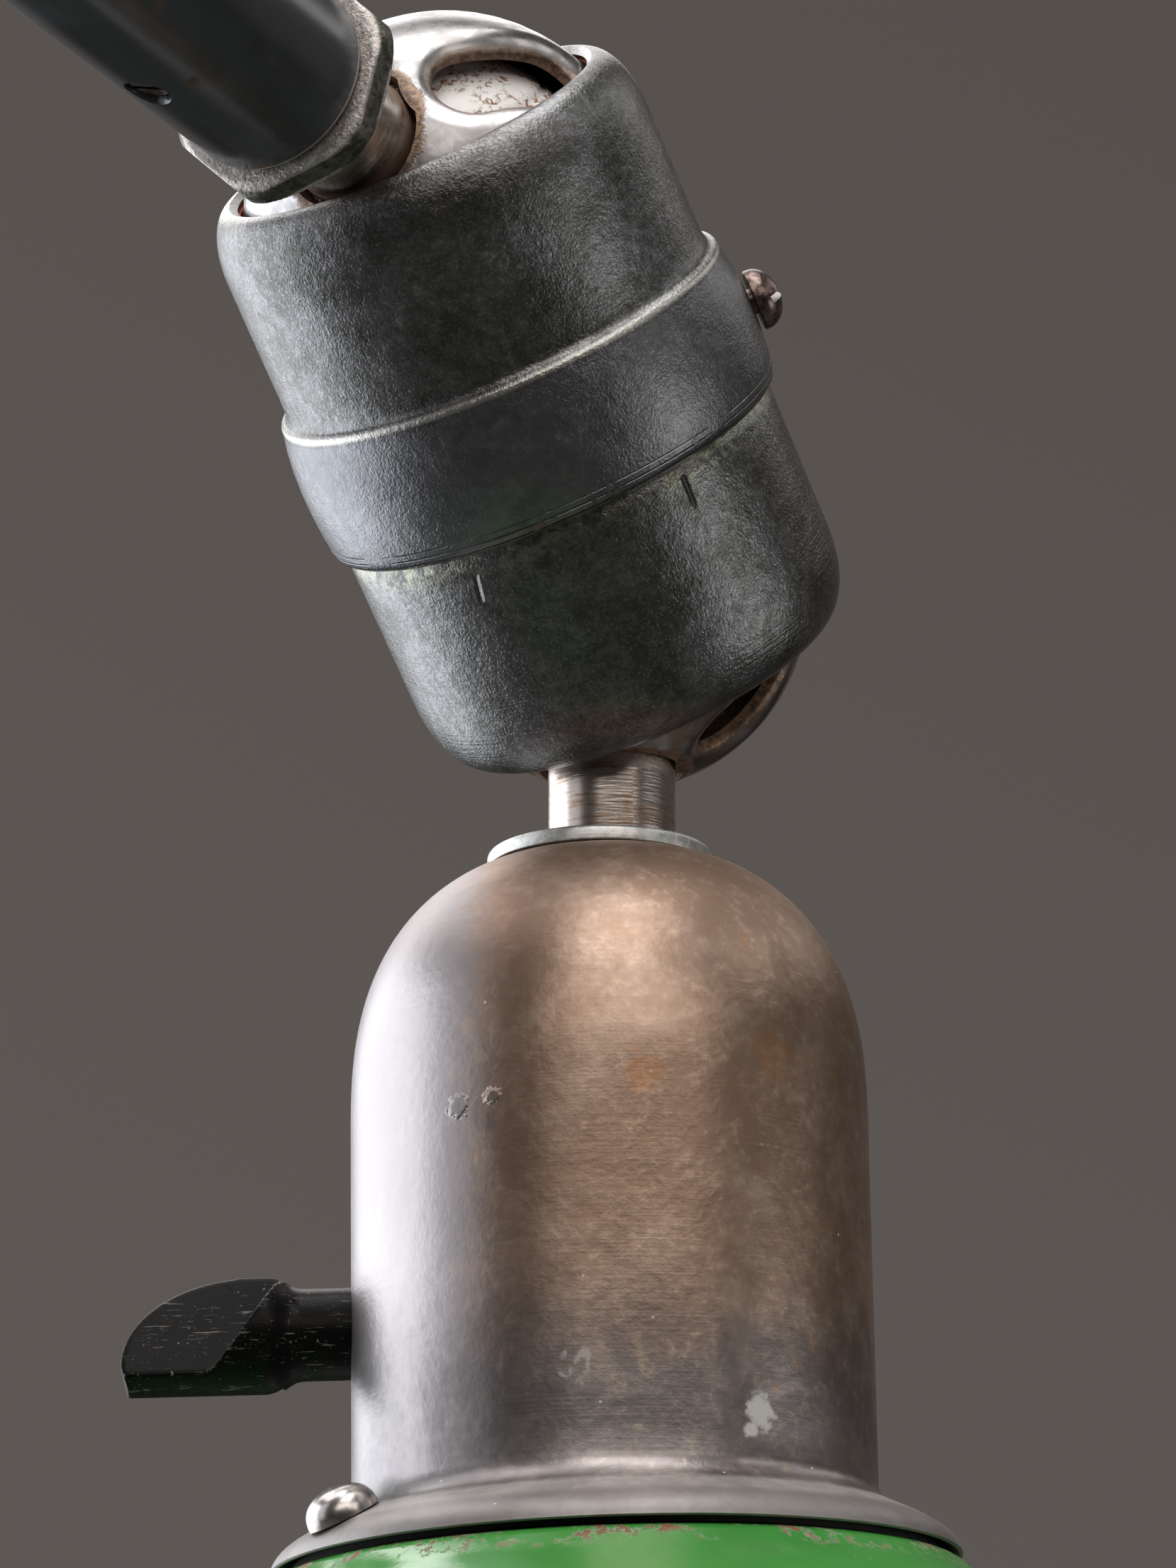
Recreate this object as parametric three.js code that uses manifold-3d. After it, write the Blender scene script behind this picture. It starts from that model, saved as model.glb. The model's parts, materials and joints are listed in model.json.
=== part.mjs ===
// Swing arm desk lamp: a heavy round foot, two tubular arms and an enamelled shade, joined by
// three double ball joints. Each joint housing holds two hollow balls, which a spring presses
// outwards against fibre rings, so that every arm stays where it is put.
// Millimetres, +Z up, origin at the centre of the foot's underside.
import * as THREE from 'three';
import { mergeVertices } from 'three/addons/utils/BufferGeometryUtils.js';
import Module from 'manifold-3d';

const wasm = await Module();
wasm.setup();

// ---------- driving dimensions ----------
const GAP = 0.3; // running or fitting gap between pieces that meet
const SEGMENTS = {
  housing: 20, ball: 16, ring: 20, cup: 12, stem: 12, nut: 12, tube: 20, cover: 28, foot: 32, small: 8,
};

// pose of the arms: angles in degrees, elevations measured in the vertical plane of the arms
const ARM_AZIMUTH = 61.95;
const BASE_JOINT_ELEVATION = 106;
const LOWER_ARM_ELEVATION = 84;
const ELBOW_JOINT_ELEVATION = 42.5;
const UPPER_ARM_ELEVATION = -3.03;
const HEAD_JOINT_TILT = 41.1;
const HEAD_JOINT_AZIMUTH = 233.7;

// ball joint
const BALL_SPACING = 48.8;
const BALL_RADIUS = 23;
const BALL_WALL = 1.8;
const BALL_EDGE_POLAR = 114; // the shell runs past its equator, so that no edge shows when it tilts
const WINDOW = { count: 3, polar: 54.5, length: 20.4, width: 9.4 };
const BALL_TURN = { head_upper: 1, head_lower: 71 }; // degrees round the stem
const RING = { inner: 23.4, outer: 24.2, end: 77.5 };
const SEAT_RADIUS = 24.7;
const HOUSING_BORE = 24.1;
const UPPER_LIP = { opening: 22.3, height: 10.5, start: 2.6, polar: 67 };
const LOWER_LIP = { opening: 21.9, height: 11.4, start: 2.5, polar: 65.5 };
const UPPER_SHELL_RADIUS = 25.9;
const LOWER_SHELL_RADIUS = 26.2;
const BAND = { radius: 28.05, bottom: -7.3, line: 9.2, lineRadius: 26.95 };
const SPIGOT = { radius: 25.9, top: 4.3 };
const CUP = { dome: 17.2, ring: 20.3, bore: 3.9, tail: 7, tailEnd: -12.5 };
const SPRING = { radius: 5.2, wire: 0.9, turns: 3.5, stepsPerTurn: 6 };
const LOCK_SCREW = { radius: 1.5, headRadius: 3.5, headHeight: 3.2, seat: 28.4, height: 0.7 };

// stems, nuts and arm tubes
const STEM = { radius: 7.3, bore: 3.6, collarRadius: 9.2, collarBottom: 17.5, collarTop: 18.5 };
const STEM_SEAT = 31.4; // ball centre to the face that a plain stem is seated on
const STEM_END = 40.8;
const SHANK = { radius: 8, start: 31.5, end: 66 };
const NUT = { acrossFlats: 24, round: 13.3, thickness: 3.8, start: 33.6, turn: -15 };
const TUBE = { radius: 10.9, bore: 9.2, length: 350, start: 37.7, bevel: 0.8 };
const SET_SCREW = { radius: 2.1, fromEnd: 20.5, turn: 76 };

// lampholder cover, measured down from the washer's top face; it sits a little askew on its stem
const HEAD_LEAN = -0.9;
const HEAD_SHIFT = -0.75;
const WASHER = { radius: 12.9, thickness: 1.8, hole: 8.9, shift: -0.65 };
const COVER = {
  radius: 29.2, crown: 31.75, middle: -32, exponent: 2.5, top: -2.1, wall: 1, hole: 8.4, skirt: -73.6,
};
const FLANGE = [[29.7, -75.3], [32.4, -77], [35.3, -78.3], [37.3, -79.8], [38.2, -81.4]];
const FLANGE_TILT = -1.03; // the flange is bent a little, and the shade hangs from it
const FLANGE_DROP = 0.3;
const KEY = {
  azimuth: 176, height: -54.9, turn: 25, shank: 5.2, start: 27.4, neck: 35.6, shoulder: 38, tip: 54.8,
};
const KEY_WING = { width: 13.8, thick: 4.6 };
const FLANGE_SCREW = { azimuth: 211, distance: 34.2, height: -78.5, radius: 4.1, rise: 3.4, lean: 29 };
const GASKET = { inner: 30, outer: 35.8, bottom: -82.1, top: -80.9 };

// shade, lampholder and bulb, on the same heights
const SHADE = { top: -82.4, hole: 16.4, shoulder: 37.6, mouth: 97, bottom: -186, wall: 0.9 };
const HOLDER = { radius: 15.2, top: -11.2, flange: 19, socket: 13.8, floor: -60, bottom: -92 };
const SWITCH_CHAMBER = { radius: 12.6, top: -18, floor: -49 };
const BULB = { neck: 12.4, start: -88.4, radius: 30, middle: -139, bottom: -169, wall: 0.8 };

// foot
const FOOT = { radius: 130, underside: 3, edge: 13, shoulder: 18, bossRadius: 20, bossTop: 34.6 };
const GLAND = { height: 9.5, radius: 5.2, bore: 3, nose: 9 };

// ---------- materials ----------
function finish(color, roughness, metalness) {
  return new THREE.MeshStandardMaterial({ color, roughness, metalness });
}
const MATERIAL = {
  castAluminium: finish(0x8d8f90, 0.62, 0.7),
  nickel: finish(0xc9c4bb, 0.22, 1),
  stemNickel: finish(0xa8998a, 0.35, 1),
  aluminium: finish(0xb9bcb9, 0.5, 0.9),
  fibre: finish(0x7e2a1c, 0.8, 0),
  springSteel: finish(0x77787a, 0.4, 1),
  tubePaint: finish(0x4a525a, 0.38, 0.35),
  steel: finish(0x6f6a63, 0.45, 0.9),
  bronze: finish(0x7a5a44, 0.42, 0.85),
  bakelite: finish(0x161514, 0.3, 0),
  brass: finish(0xa88a4c, 0.35, 1),
  rubber: finish(0x141414, 0.85, 0),
  enamel: finish(0x2f8a3a, 0.22, 0),
  glass: finish(0xf2f0e8, 0.15, 0),
  castIron: finish(0x35383a, 0.6, 0.5),
};

// ---------- geometry helpers ----------
const UP = new THREE.Vector3(0, 0, 1);
const DOWN = new THREE.Vector3(0, 0, -1);
const radians = THREE.MathUtils.degToRad;

// Merges shared vertices, drops collapsed triangles and turns the faces outwards.
function closed(geometry) {
  const bare = geometry.index ? geometry.toNonIndexed() : geometry.clone();
  bare.deleteAttribute('normal');
  bare.deleteAttribute('uv');
  const merged = mergeVertices(bare, 1e-4);
  const source = merged.index.array;
  const corners = [];
  for (let i = 0; i < source.length; i += 3) {
    const [a, b, c] = [source[i], source[i + 1], source[i + 2]];
    if (a !== b && b !== c && c !== a) {
      corners.push(a, b, c);
    }
  }
  if (signedVolume(merged.attributes.position, corners) < 0) {
    corners.reverse();
  }
  merged.setIndex(corners);
  return merged;
}

function signedVolume(position, corners) {
  const [a, b, c] = [new THREE.Vector3(), new THREE.Vector3(), new THREE.Vector3()];
  let volume = 0;
  for (let i = 0; i < corners.length; i += 3) {
    a.fromBufferAttribute(position, corners[i]);
    b.fromBufferAttribute(position, corners[i + 1]);
    c.fromBufferAttribute(position, corners[i + 2]);
    volume += a.dot(b.cross(c)) / 6;
  }
  return volume;
}

function toManifold(geometry) {
  const solid = closed(geometry);
  const vertProperties = new Float32Array(solid.attributes.position.array);
  const triVerts = new Uint32Array(solid.index.array);
  return new wasm.Manifold(new wasm.Mesh({ numProp: 3, vertProperties, triVerts }));
}

function fromManifold(manifold) {
  const mesh = manifold.getMesh();
  const geometry = new THREE.BufferGeometry();
  geometry.setAttribute('position', new THREE.BufferAttribute(new Float32Array(mesh.vertProperties), 3));
  geometry.setIndex(Array.from(mesh.triVerts));
  return geometry;
}

function cut(geometry, ...tools) {
  return fromManifold(tools.reduce((left, tool) => left.subtract(toManifold(tool)), toManifold(geometry)));
}

function join(geometry, ...others) {
  return fromManifold(others.reduce((left, other) => left.add(toManifold(other)), toManifold(geometry)));
}

function overlap(geometry, other) {
  return fromManifold(toManifold(geometry).intersect(toManifold(other)));
}

// A body turned about Z, from a closed outline of [radius, height] points.
function turned(outline, segments) {
  const points = outline.map(([radius, height]) => new THREE.Vector2(radius, height));
  points.push(points[0].clone());
  return closed(new THREE.LatheGeometry(points, segments).rotateX(Math.PI / 2));
}

// Points on a circle about [0, height], from one polar angle to another, both from +Z.
function sphereArc(radius, fromPolar, toPolar, steps, height = 0) {
  return Array.from({ length: steps + 1 }, (_, i) => {
    const polar = radians(fromPolar + ((toPolar - fromPolar) * i) / steps);
    return [radius * Math.sin(polar), height + radius * Math.cos(polar)];
  });
}

// A straight round rod about Z between two heights.
function rod(radius, bottom, top, segments) {
  const shape = new THREE.CylinderGeometry(radius, radius, top - bottom, segments);
  return shape.rotateX(Math.PI / 2).translate(0, 0, (top + bottom) / 2);
}

// Turns a shape that is built along +Z so that it lies along +X, at an angle round Z.
function radial(geometry, azimuth) {
  return geometry.rotateY(Math.PI / 2).rotateZ(radians(azimuth));
}

function mirroredOutline(outline) {
  return outline.map(([radius, height]) => [radius, -height]);
}

// ---------- assembly helpers ----------
function named(name, geometry, material) {
  const mesh = new THREE.Mesh(closed(geometry), material);
  mesh.name = name;
  return mesh;
}

// A group whose own +Z lies along a direction, turned about it by an angle.
function along(origin, direction, turn = 0) {
  const group = new THREE.Group();
  group.position.copy(origin);
  group.quaternion.setFromUnitVectors(UP, direction);
  group.rotateZ(radians(turn));
  return group;
}

function inArmPlane(elevation) {
  const flat = Math.cos(radians(elevation));
  const [x, y] = [Math.cos(radians(ARM_AZIMUTH)), Math.sin(radians(ARM_AZIMUTH))];
  return new THREE.Vector3(flat * x, flat * y, Math.sin(radians(elevation)));
}

// ---------- ball joint pieces, each about its own axis ----------

// The outside of a housing's rim: a quarter ellipse from the wall up to the opening.
function rimOutside(lip, wallRadius, steps) {
  const centre = BALL_SPACING / 2 + lip.start;
  return Array.from({ length: steps + 1 }, (_, i) => {
    const angle = (Math.PI / 2) * (i / steps);
    const radius = lip.opening + (wallRadius - lip.opening) * Math.cos(angle);
    return [radius, centre + (lip.height - lip.start) * Math.sin(angle)];
  });
}

// The inside of the rim: a narrow lip over the seat of the friction ring, then the bore.
function rimInside(lip) {
  const centre = BALL_SPACING / 2;
  const edge = lip.polar - 1.7;
  const lipFace = [[edge, 23.68], [lip.polar - 0.3, 23.55]].map(([polar, radius]) => {
    return [radius * Math.sin(radians(polar)), centre + radius * Math.cos(radians(polar))];
  });
  return [...lipFace, ...sphereArc(SEAT_RADIUS, lip.polar, RING.end, 1, centre)];
}

function upperShell() {
  const bandBarrel = [
    [BAND.lineRadius - 0.05, BAND.bottom],
    [BAND.radius - 0.45, BAND.bottom + 1.7],
    [BAND.radius, (BAND.bottom + BAND.line) / 2],
    [BAND.lineRadius, BAND.line],
    [UPPER_SHELL_RADIUS + 0.4, BAND.line + 0.6],
  ];
  const outline = [
    ...bandBarrel,
    ...rimOutside(UPPER_LIP, UPPER_SHELL_RADIUS, 3),
    ...rimInside(UPPER_LIP),
    [HOUSING_BORE, SPIGOT.top + 0.4],
    [SPIGOT.radius + GAP, SPIGOT.top + 0.4],
    [SPIGOT.radius + GAP, BAND.bottom],
  ];
  return cut(turned(outline, SEGMENTS.housing), lockScrewHole());
}

function lowerShell() {
  const outline = [
    ...rimInside(LOWER_LIP).reverse(),
    ...rimOutside(LOWER_LIP, LOWER_SHELL_RADIUS, 3).reverse(),
    [LOWER_SHELL_RADIUS + 0.1, -BAND.bottom + 0.4],
    [SPIGOT.radius, -BAND.bottom + 0.4],
    [SPIGOT.radius, -SPIGOT.top],
    [HOUSING_BORE, -SPIGOT.top],
  ];
  return cut(turned(mirroredOutline(outline), SEGMENTS.housing), lockScrewHole());
}

function lockScrewHole() {
  const hole = rod(LOCK_SCREW.radius + 0.4, HOUSING_BORE - 2, BAND.radius + 2, SEGMENTS.small);
  return radial(hole, 0).translate(0, 0, LOCK_SCREW.height);
}

function lockScrew() {
  const { radius, headRadius, headHeight, seat } = LOCK_SCREW;
  const outline = [
    [0, HOUSING_BORE + 0.5],
    [radius, HOUSING_BORE + 0.5],
    [radius, seat],
    [headRadius, seat],
    [headRadius, seat + headHeight * 0.45],
    [headRadius * 0.72, seat + headHeight * 0.88],
    [0, seat + headHeight],
  ];
  const slot = new THREE.BoxGeometry(0.9, headRadius * 3, headHeight);
  const screw = cut(turned(outline, SEGMENTS.small), slot.translate(0, 0, seat + headHeight * 1.1));
  return radial(screw, 0).translate(0, 0, LOCK_SCREW.height);
}

// A window is a long slot with round ends, cut through the shell along a meridian.
function windowCutter(azimuth) {
  const endRadius = WINDOW.width / 2;
  const straight = WINDOW.length / 2 - endRadius;
  const shape = new THREE.Shape();
  shape.absarc(straight, 0, endRadius, -Math.PI / 2, Math.PI / 2, false);
  shape.absarc(-straight, 0, endRadius, Math.PI / 2, (3 * Math.PI) / 2, false);
  const prism = new THREE.ExtrudeGeometry(shape, { depth: 14, bevelEnabled: false, curveSegments: 2 });
  return prism.translate(0, 0, BALL_RADIUS - 9).rotateY(radians(WINDOW.polar)).rotateZ(radians(azimuth));
}

function ball() {
  const hole = STEM.radius + 1;
  const inner = BALL_RADIUS - BALL_WALL;
  const holePolar = (radius) => THREE.MathUtils.radToDeg(Math.asin(hole / radius));
  const outline = [
    ...sphereArc(BALL_RADIUS, holePolar(BALL_RADIUS), BALL_EDGE_POLAR, 5),
    ...sphereArc(inner, BALL_EDGE_POLAR, holePolar(inner), 4),
  ];
  const windows = Array.from({ length: WINDOW.count }, (_, i) => windowCutter((360 * i) / WINDOW.count));
  return cut(turned(outline, SEGMENTS.ball), ...windows);
}

function frictionRing(lip) {
  const start = lip.polar + 0.3;
  return turned(
    [...sphereArc(RING.inner, start, RING.end, 1), ...sphereArc(RING.outer, RING.end, start, 1)],
    SEGMENTS.ring,
  );
}

// The cup's dome stands clear of the stem's collar, and its ring carries the ball from inside.
function thrustCup() {
  const domeStart = THREE.MathUtils.radToDeg(Math.asin(CUP.bore / CUP.dome));
  const outline = [
    ...sphereArc(CUP.dome, domeStart, 78, 3),
    [CUP.ring - 0.3, 3.2],
    [CUP.ring, 0],
    [CUP.ring - 0.4, -4.3],
    [CUP.tail, -8.6],
    [CUP.tail, CUP.tailEnd],
    [CUP.bore, CUP.tailEnd],
  ];
  return turned(outline, SEGMENTS.cup);
}

class Helix extends THREE.Curve {
  constructor(radius, height, turns) {
    super();
    Object.assign(this, { radius, height, turns });
  }

  getPoint(t, target = new THREE.Vector3()) {
    const angle = 2 * Math.PI * this.turns * t;
    return target.set(this.radius * Math.cos(angle), this.radius * Math.sin(angle), this.height * (t - 0.5));
  }
}

function spring() {
  const section = new THREE.Shape();
  section.absarc(0, 0, SPRING.wire, 0, 2 * Math.PI, false);
  const free = BALL_SPACING + 2 * CUP.tailEnd - 2 * (SPRING.wire + GAP);
  const extrudePath = new Helix(SPRING.radius, free, SPRING.turns);
  const steps = SPRING.turns * SPRING.stepsPerTurn;
  return new THREE.ExtrudeGeometry(section, { steps, curveSegments: 3, bevelEnabled: false, extrudePath });
}

// ---------- stems, nuts, tubes ----------
function stem(threaded) {
  const end = threaded ? SHANK.end : STEM_END;
  const outline = [
    [STEM.bore, STEM.collarBottom],
    [STEM.collarRadius, STEM.collarBottom],
    [STEM.collarRadius, STEM.collarTop],
    [STEM.radius, STEM.collarTop],
  ];
  if (threaded) {
    outline.push([STEM.radius, SHANK.start], [SHANK.radius, SHANK.start], [SHANK.radius, end]);
  } else {
    outline.push([STEM.radius, end]);
  }
  outline.push([STEM.bore, end]);
  return turned(outline, SEGMENTS.stem);
}

function lockNut() {
  const { acrossFlats, round, thickness, turn } = NUT;
  const corner = acrossFlats / 2 / Math.cos(Math.PI / 6);
  const hexagon = new THREE.CylinderGeometry(corner, corner, thickness, 6).rotateX(Math.PI / 2);
  const bore = SHANK.radius + 2 * GAP;
  const blank = turned(
    [
      [bore, 0],
      [round - 1.1, 0],
      [round, 0.8],
      [round, thickness - 0.8],
      [round - 1.1, thickness],
      [bore, thickness],
    ],
    SEGMENTS.nut,
  );
  const nut = overlap(blank, hexagon.rotateZ(Math.PI / 6).translate(0, 0, thickness / 2));
  return nut.rotateZ(radians(turn));
}

function armTube() {
  const { radius, bore, length, bevel } = TUBE;
  const outline = [
    [bore, 0],
    [radius - bevel, 0],
    [radius, bevel],
    [radius, length - bevel],
    [radius - bevel, length],
    [bore, length],
  ];
  const holes = [SET_SCREW.fromEnd, length - SET_SCREW.fromEnd].map((height) => {
    const hole = rod(SET_SCREW.radius + GAP, bore - 2, radius + 2, SEGMENTS.small);
    return radial(hole, SET_SCREW.turn).translate(0, 0, height);
  });
  return cut(turned(outline, SEGMENTS.tube), ...holes);
}

function setScrew() {
  return radial(rod(SET_SCREW.radius, SHANK.radius + GAP, TUBE.radius - 0.7, SEGMENTS.small), SET_SCREW.turn);
}

// ---------- lamp head, on heights below the washer's top face ----------
function washer() {
  const { radius, thickness, hole } = WASHER;
  const outline = [[hole, 0], [radius - 0.5, 0], [radius, -0.5], [radius, -thickness], [hole, -thickness]];
  return turned(outline, SEGMENTS.ring).translate(WASHER.shift, 0, 0);
}

// The cover's crown is a superellipse, fuller than a hemisphere, with a flat for the washer.
function crown(offset, steps) {
  const { radius, crown: rise, middle, exponent, top } = COVER;
  const highest = (top - middle) / rise;
  return Array.from({ length: steps + 1 }, (_, i) => {
    const share = highest * Math.sin((Math.PI / 2) * (i / steps));
    const full = (1 - share ** exponent) ** (1 / exponent);
    return [(radius - offset) * full, middle + rise * share - offset * share];
  });
}

function lampholderCover() {
  const { radius, wall, skirt, top, hole } = COVER;
  const [lipRadius, lipHeight] = FLANGE.at(-1);
  const slope = FLANGE.slice(0, -1).filter((_, i) => i % 2 === 0);
  const underFlange = slope.map(([r, z]) => [r - wall * 0.9, z - wall * 0.7]);
  const outline = [
    ...FLANGE.slice().reverse(),
    [radius, skirt],
    ...crown(0, 5),
    [hole, top],
    [hole, top - wall],
    ...crown(wall, 4).reverse(),
    [radius - wall, skirt],
    ...underFlange,
    [lipRadius - wall, lipHeight],
  ];
  const body = bent(turned(outline, SEGMENTS.cover));
  const keyHole = radial(rod(KEY.shank + 0.5, 20, 36, SEGMENTS.small), KEY.azimuth);
  const screwHole = flangeScrewFrame(rod(1.9, -8, 4, SEGMENTS.small));
  return cut(body, keyHole.translate(0, 0, KEY.height), screwHole);
}

// Bends the flange a little out of square with the cover's wall.
function bent(geometry) {
  const position = geometry.attributes.position;
  for (let i = 0; i < position.count; i++) {
    const [x, y, z] = [position.getX(i), position.getY(i), position.getZ(i)];
    if (Math.hypot(x, y) > COVER.radius + 0.1) {
      position.setZ(i, z - x * Math.tan(radians(FLANGE_TILT)) - FLANGE_DROP);
    }
  }
  return geometry;
}

// The key is a round shank that widens to a neck; two slanting cuts leave a flat wing beyond it.
function switchKey() {
  const { shank, start, neck, shoulder, tip } = KEY;
  const halfWidth = KEY_WING.width / 2;
  const bore = 2;
  const blank = turned(
    [
      [bore, start],
      [shank, start],
      [shank, neck],
      [halfWidth, shoulder],
      [halfWidth, tip],
      [0, tip],
      [0, start + 6],
      [bore, start + 6],
    ],
    SEGMENTS.tube,
  );
  const outline = new THREE.Shape();
  outline.moveTo(-halfWidth - 1, start - 1);
  outline.lineTo(halfWidth + 1, start - 1);
  outline.lineTo(halfWidth + 1, tip - 1.6);
  outline.quadraticCurveTo(halfWidth, tip, halfWidth - 2.4, tip);
  outline.bezierCurveTo(-halfWidth * 0.3, tip, -halfWidth + 1, tip - 6.5, -halfWidth + 0.5, tip - 12);
  outline.lineTo(-halfWidth - 1, shoulder);
  const nearCut = new THREE.Shape();
  nearCut.moveTo(-halfWidth - 2, neck + 0.8);
  nearCut.quadraticCurveTo(halfWidth * 0.5, neck + 2, halfWidth + 0.5, neck + 11);
  nearCut.lineTo(halfWidth + 2, tip + 2);
  nearCut.lineTo(-halfWidth - 2, tip + 2);
  const depth = 2 * halfWidth + 4;
  const slab = (shape, nearFace) => {
    const prism = new THREE.ExtrudeGeometry(shape, { depth, bevelEnabled: false, curveSegments: 4 });
    return prism.rotateX(Math.PI / 2).translate(0, nearFace + depth, 0);
  };
  const wingFace = KEY_WING.thick / 2;
  const farSlab = slab(nearCut, wingFace).rotateZ(Math.PI);
  const wing = cut(overlap(blank, slab(outline, -depth / 2)), slab(nearCut, wingFace), farSlab);
  return wing.rotateZ(radians(KEY.turn));
}

function keyHolder(geometry) {
  return radial(geometry, KEY.azimuth).translate(0, 0, KEY.height);
}

function keySpindle() {
  return rod(1.6, HOLDER.radius - 3.5, KEY.start + 5.5, SEGMENTS.small);
}

// Puts a shape that stands on z = 0 onto the flange's slope.
function flangeScrewFrame(geometry) {
  const { azimuth, distance, height, lean } = FLANGE_SCREW;
  return geometry.rotateY(radians(lean)).translate(distance, 0, height).rotateZ(radians(azimuth));
}

function flangeScrew() {
  const { radius, rise } = FLANGE_SCREW;
  const dome = [[radius, 0], [radius * 0.86, rise * 0.55], [radius * 0.5, rise * 0.9], [0, rise]];
  const outline = [[0, -3.6], [1.5, -3.6], [1.5, 0], ...dome];
  return flangeScrewFrame(turned(outline, SEGMENTS.small));
}

function gasket() {
  const { inner, outer, bottom, top } = GASKET;
  const ring = turned([[inner, bottom], [outer, bottom], [outer, top], [inner, top]], SEGMENTS.cover);
  return cut(ring, flangeScrewFrame(rod(2, -10, 4, SEGMENTS.small)));
}

function lampholder() {
  const { radius, top, flange, socket, floor, bottom } = HOLDER;
  const outline = [
    [STEM.bore, top],
    [9, top],
    [radius, top - 6],
    [radius, SHADE.top + 2.6],
    [flange, SHADE.top + 2.6],
    [flange, SHADE.top + 0.1],
    [radius, SHADE.top + 0.1],
    [radius, bottom],
    [socket, bottom],
    [socket, floor],
    [STEM.bore, floor],
    [STEM.bore, SWITCH_CHAMBER.floor],
    [SWITCH_CHAMBER.radius, SWITCH_CHAMBER.floor],
    [SWITCH_CHAMBER.radius, SWITCH_CHAMBER.top],
    [STEM.bore, SWITCH_CHAMBER.top],
  ];
  const spindleHole = keyHolder(rod(2, HOLDER.radius - 4, HOLDER.radius + 2, SEGMENTS.small));
  return cut(turned(outline, SEGMENTS.cup), spindleHole);
}

function shadeRing() {
  const [inner, outer] = [HOLDER.radius + GAP, 20];
  const top = SHADE.top - SHADE.wall - GAP;
  return turned([[inner, top], [outer, top], [outer - 1, top - 4], [inner, top - 4]], SEGMENTS.cup);
}

// The shade's wall: a flat top, then a bell that steepens towards the mouth, with a rolled rim.
function shadeWall(offset, steps) {
  const { top, shoulder, mouth, bottom } = SHADE;
  const bell = new THREE.QuadraticBezierCurve(
    new THREE.Vector2(shoulder + 0.6 - offset * 0.5, top - 0.9 - offset),
    new THREE.Vector2(shoulder + 42 - offset, top - 26 - offset),
    new THREE.Vector2(mouth - offset, bottom + 6),
  );
  return bell.getPoints(steps).map((point) => [point.x, point.y]);
}

function shade() {
  const { top, hole, shoulder, mouth, bottom, wall } = SHADE;
  const outline = [
    [hole, top],
    [shoulder, top],
    ...shadeWall(0, 5),
    [mouth + 1.6, bottom + 4.4],
    [mouth + 1.9, bottom + 1.2],
    [mouth, bottom],
    ...shadeWall(wall, 4).reverse(),
    [hole, top - wall],
  ];
  return turned(outline, SEGMENTS.foot);
}

// The bulb's glass: a round bowl that narrows to the neck, open where the cap closes it.
function bulbOutline(offset, steps) {
  const { neck, start, radius, middle } = BULB;
  const flank = new THREE.CubicBezierCurve(
    new THREE.Vector2(neck - offset, start),
    new THREE.Vector2(neck - offset, start - 22),
    new THREE.Vector2(radius - offset, middle + 22),
    new THREE.Vector2(radius - offset, middle),
  );
  const bowl = sphereArc(radius - offset, 90, 180, steps, middle).slice(1, -1);
  const neckLine = flank.getPoints(steps).map((point) => [point.x, point.y]);
  return [...neckLine, ...bowl, [0, middle - radius + offset]];
}

function bulbGlass() {
  const { wall } = BULB;
  return turned([...bulbOutline(0, 4), ...bulbOutline(wall, 3).reverse()], SEGMENTS.ball);
}

function bulbCap() {
  const [wide, top] = [13.1, HOLDER.floor - 0.5];
  return turned(
    [[0, top], [6, top], [10, top - 3], [wide, top - 5], [wide, BULB.start + GAP], [0, BULB.start + GAP]],
    SEGMENTS.cup,
  );
}

// ---------- foot ----------
function foot() {
  const { radius, underside, edge, shoulder, bossRadius, bossTop } = FOOT;
  const hole = STEM.radius + GAP;
  const outline = [
    [24, underside],
    [radius - 2, underside],
    [radius, underside + 3],
    [radius, edge],
    [radius - 4, edge + 3],
    [bossRadius + 24, shoulder + 2],
    [bossRadius + 2, shoulder + 8],
    [bossRadius - 1, bossTop - 2],
    [bossRadius - 3, bossTop],
    [hole, bossTop],
    [hole, shoulder],
    [24, shoulder - 3],
  ];
  const channel = radial(rod(GLAND.radius + GAP, 18, radius + 4, SEGMENTS.cup), ARM_AZIMUTH + 180);
  return cut(turned(outline, SEGMENTS.foot), channel.translate(0, 0, GLAND.height));
}

function footPad() {
  const radius = FOOT.radius - 7;
  const top = FOOT.underside - GAP;
  return turned([[0, 0], [radius, 0], [radius, top], [0, top]], SEGMENTS.foot);
}

function cableGland() {
  const { radius, bore, nose, height } = GLAND;
  const wide = radius + 2.4;
  const out = FOOT.radius + GAP;
  const outline = [
    [bore, out - 22],
    [radius, out - 22],
    [radius, out],
    [wide, out],
    [wide, out + 3],
    [radius, out + nose],
    [bore, out + nose],
  ];
  return radial(turned(outline, SEGMENTS.cup), ARM_AZIMUTH + 180).translate(0, 0, height);
}

// ---------- assembly ----------
const lamp = new THREE.Group();
const armReach = 2 * TUBE.start + TUBE.length;

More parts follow.
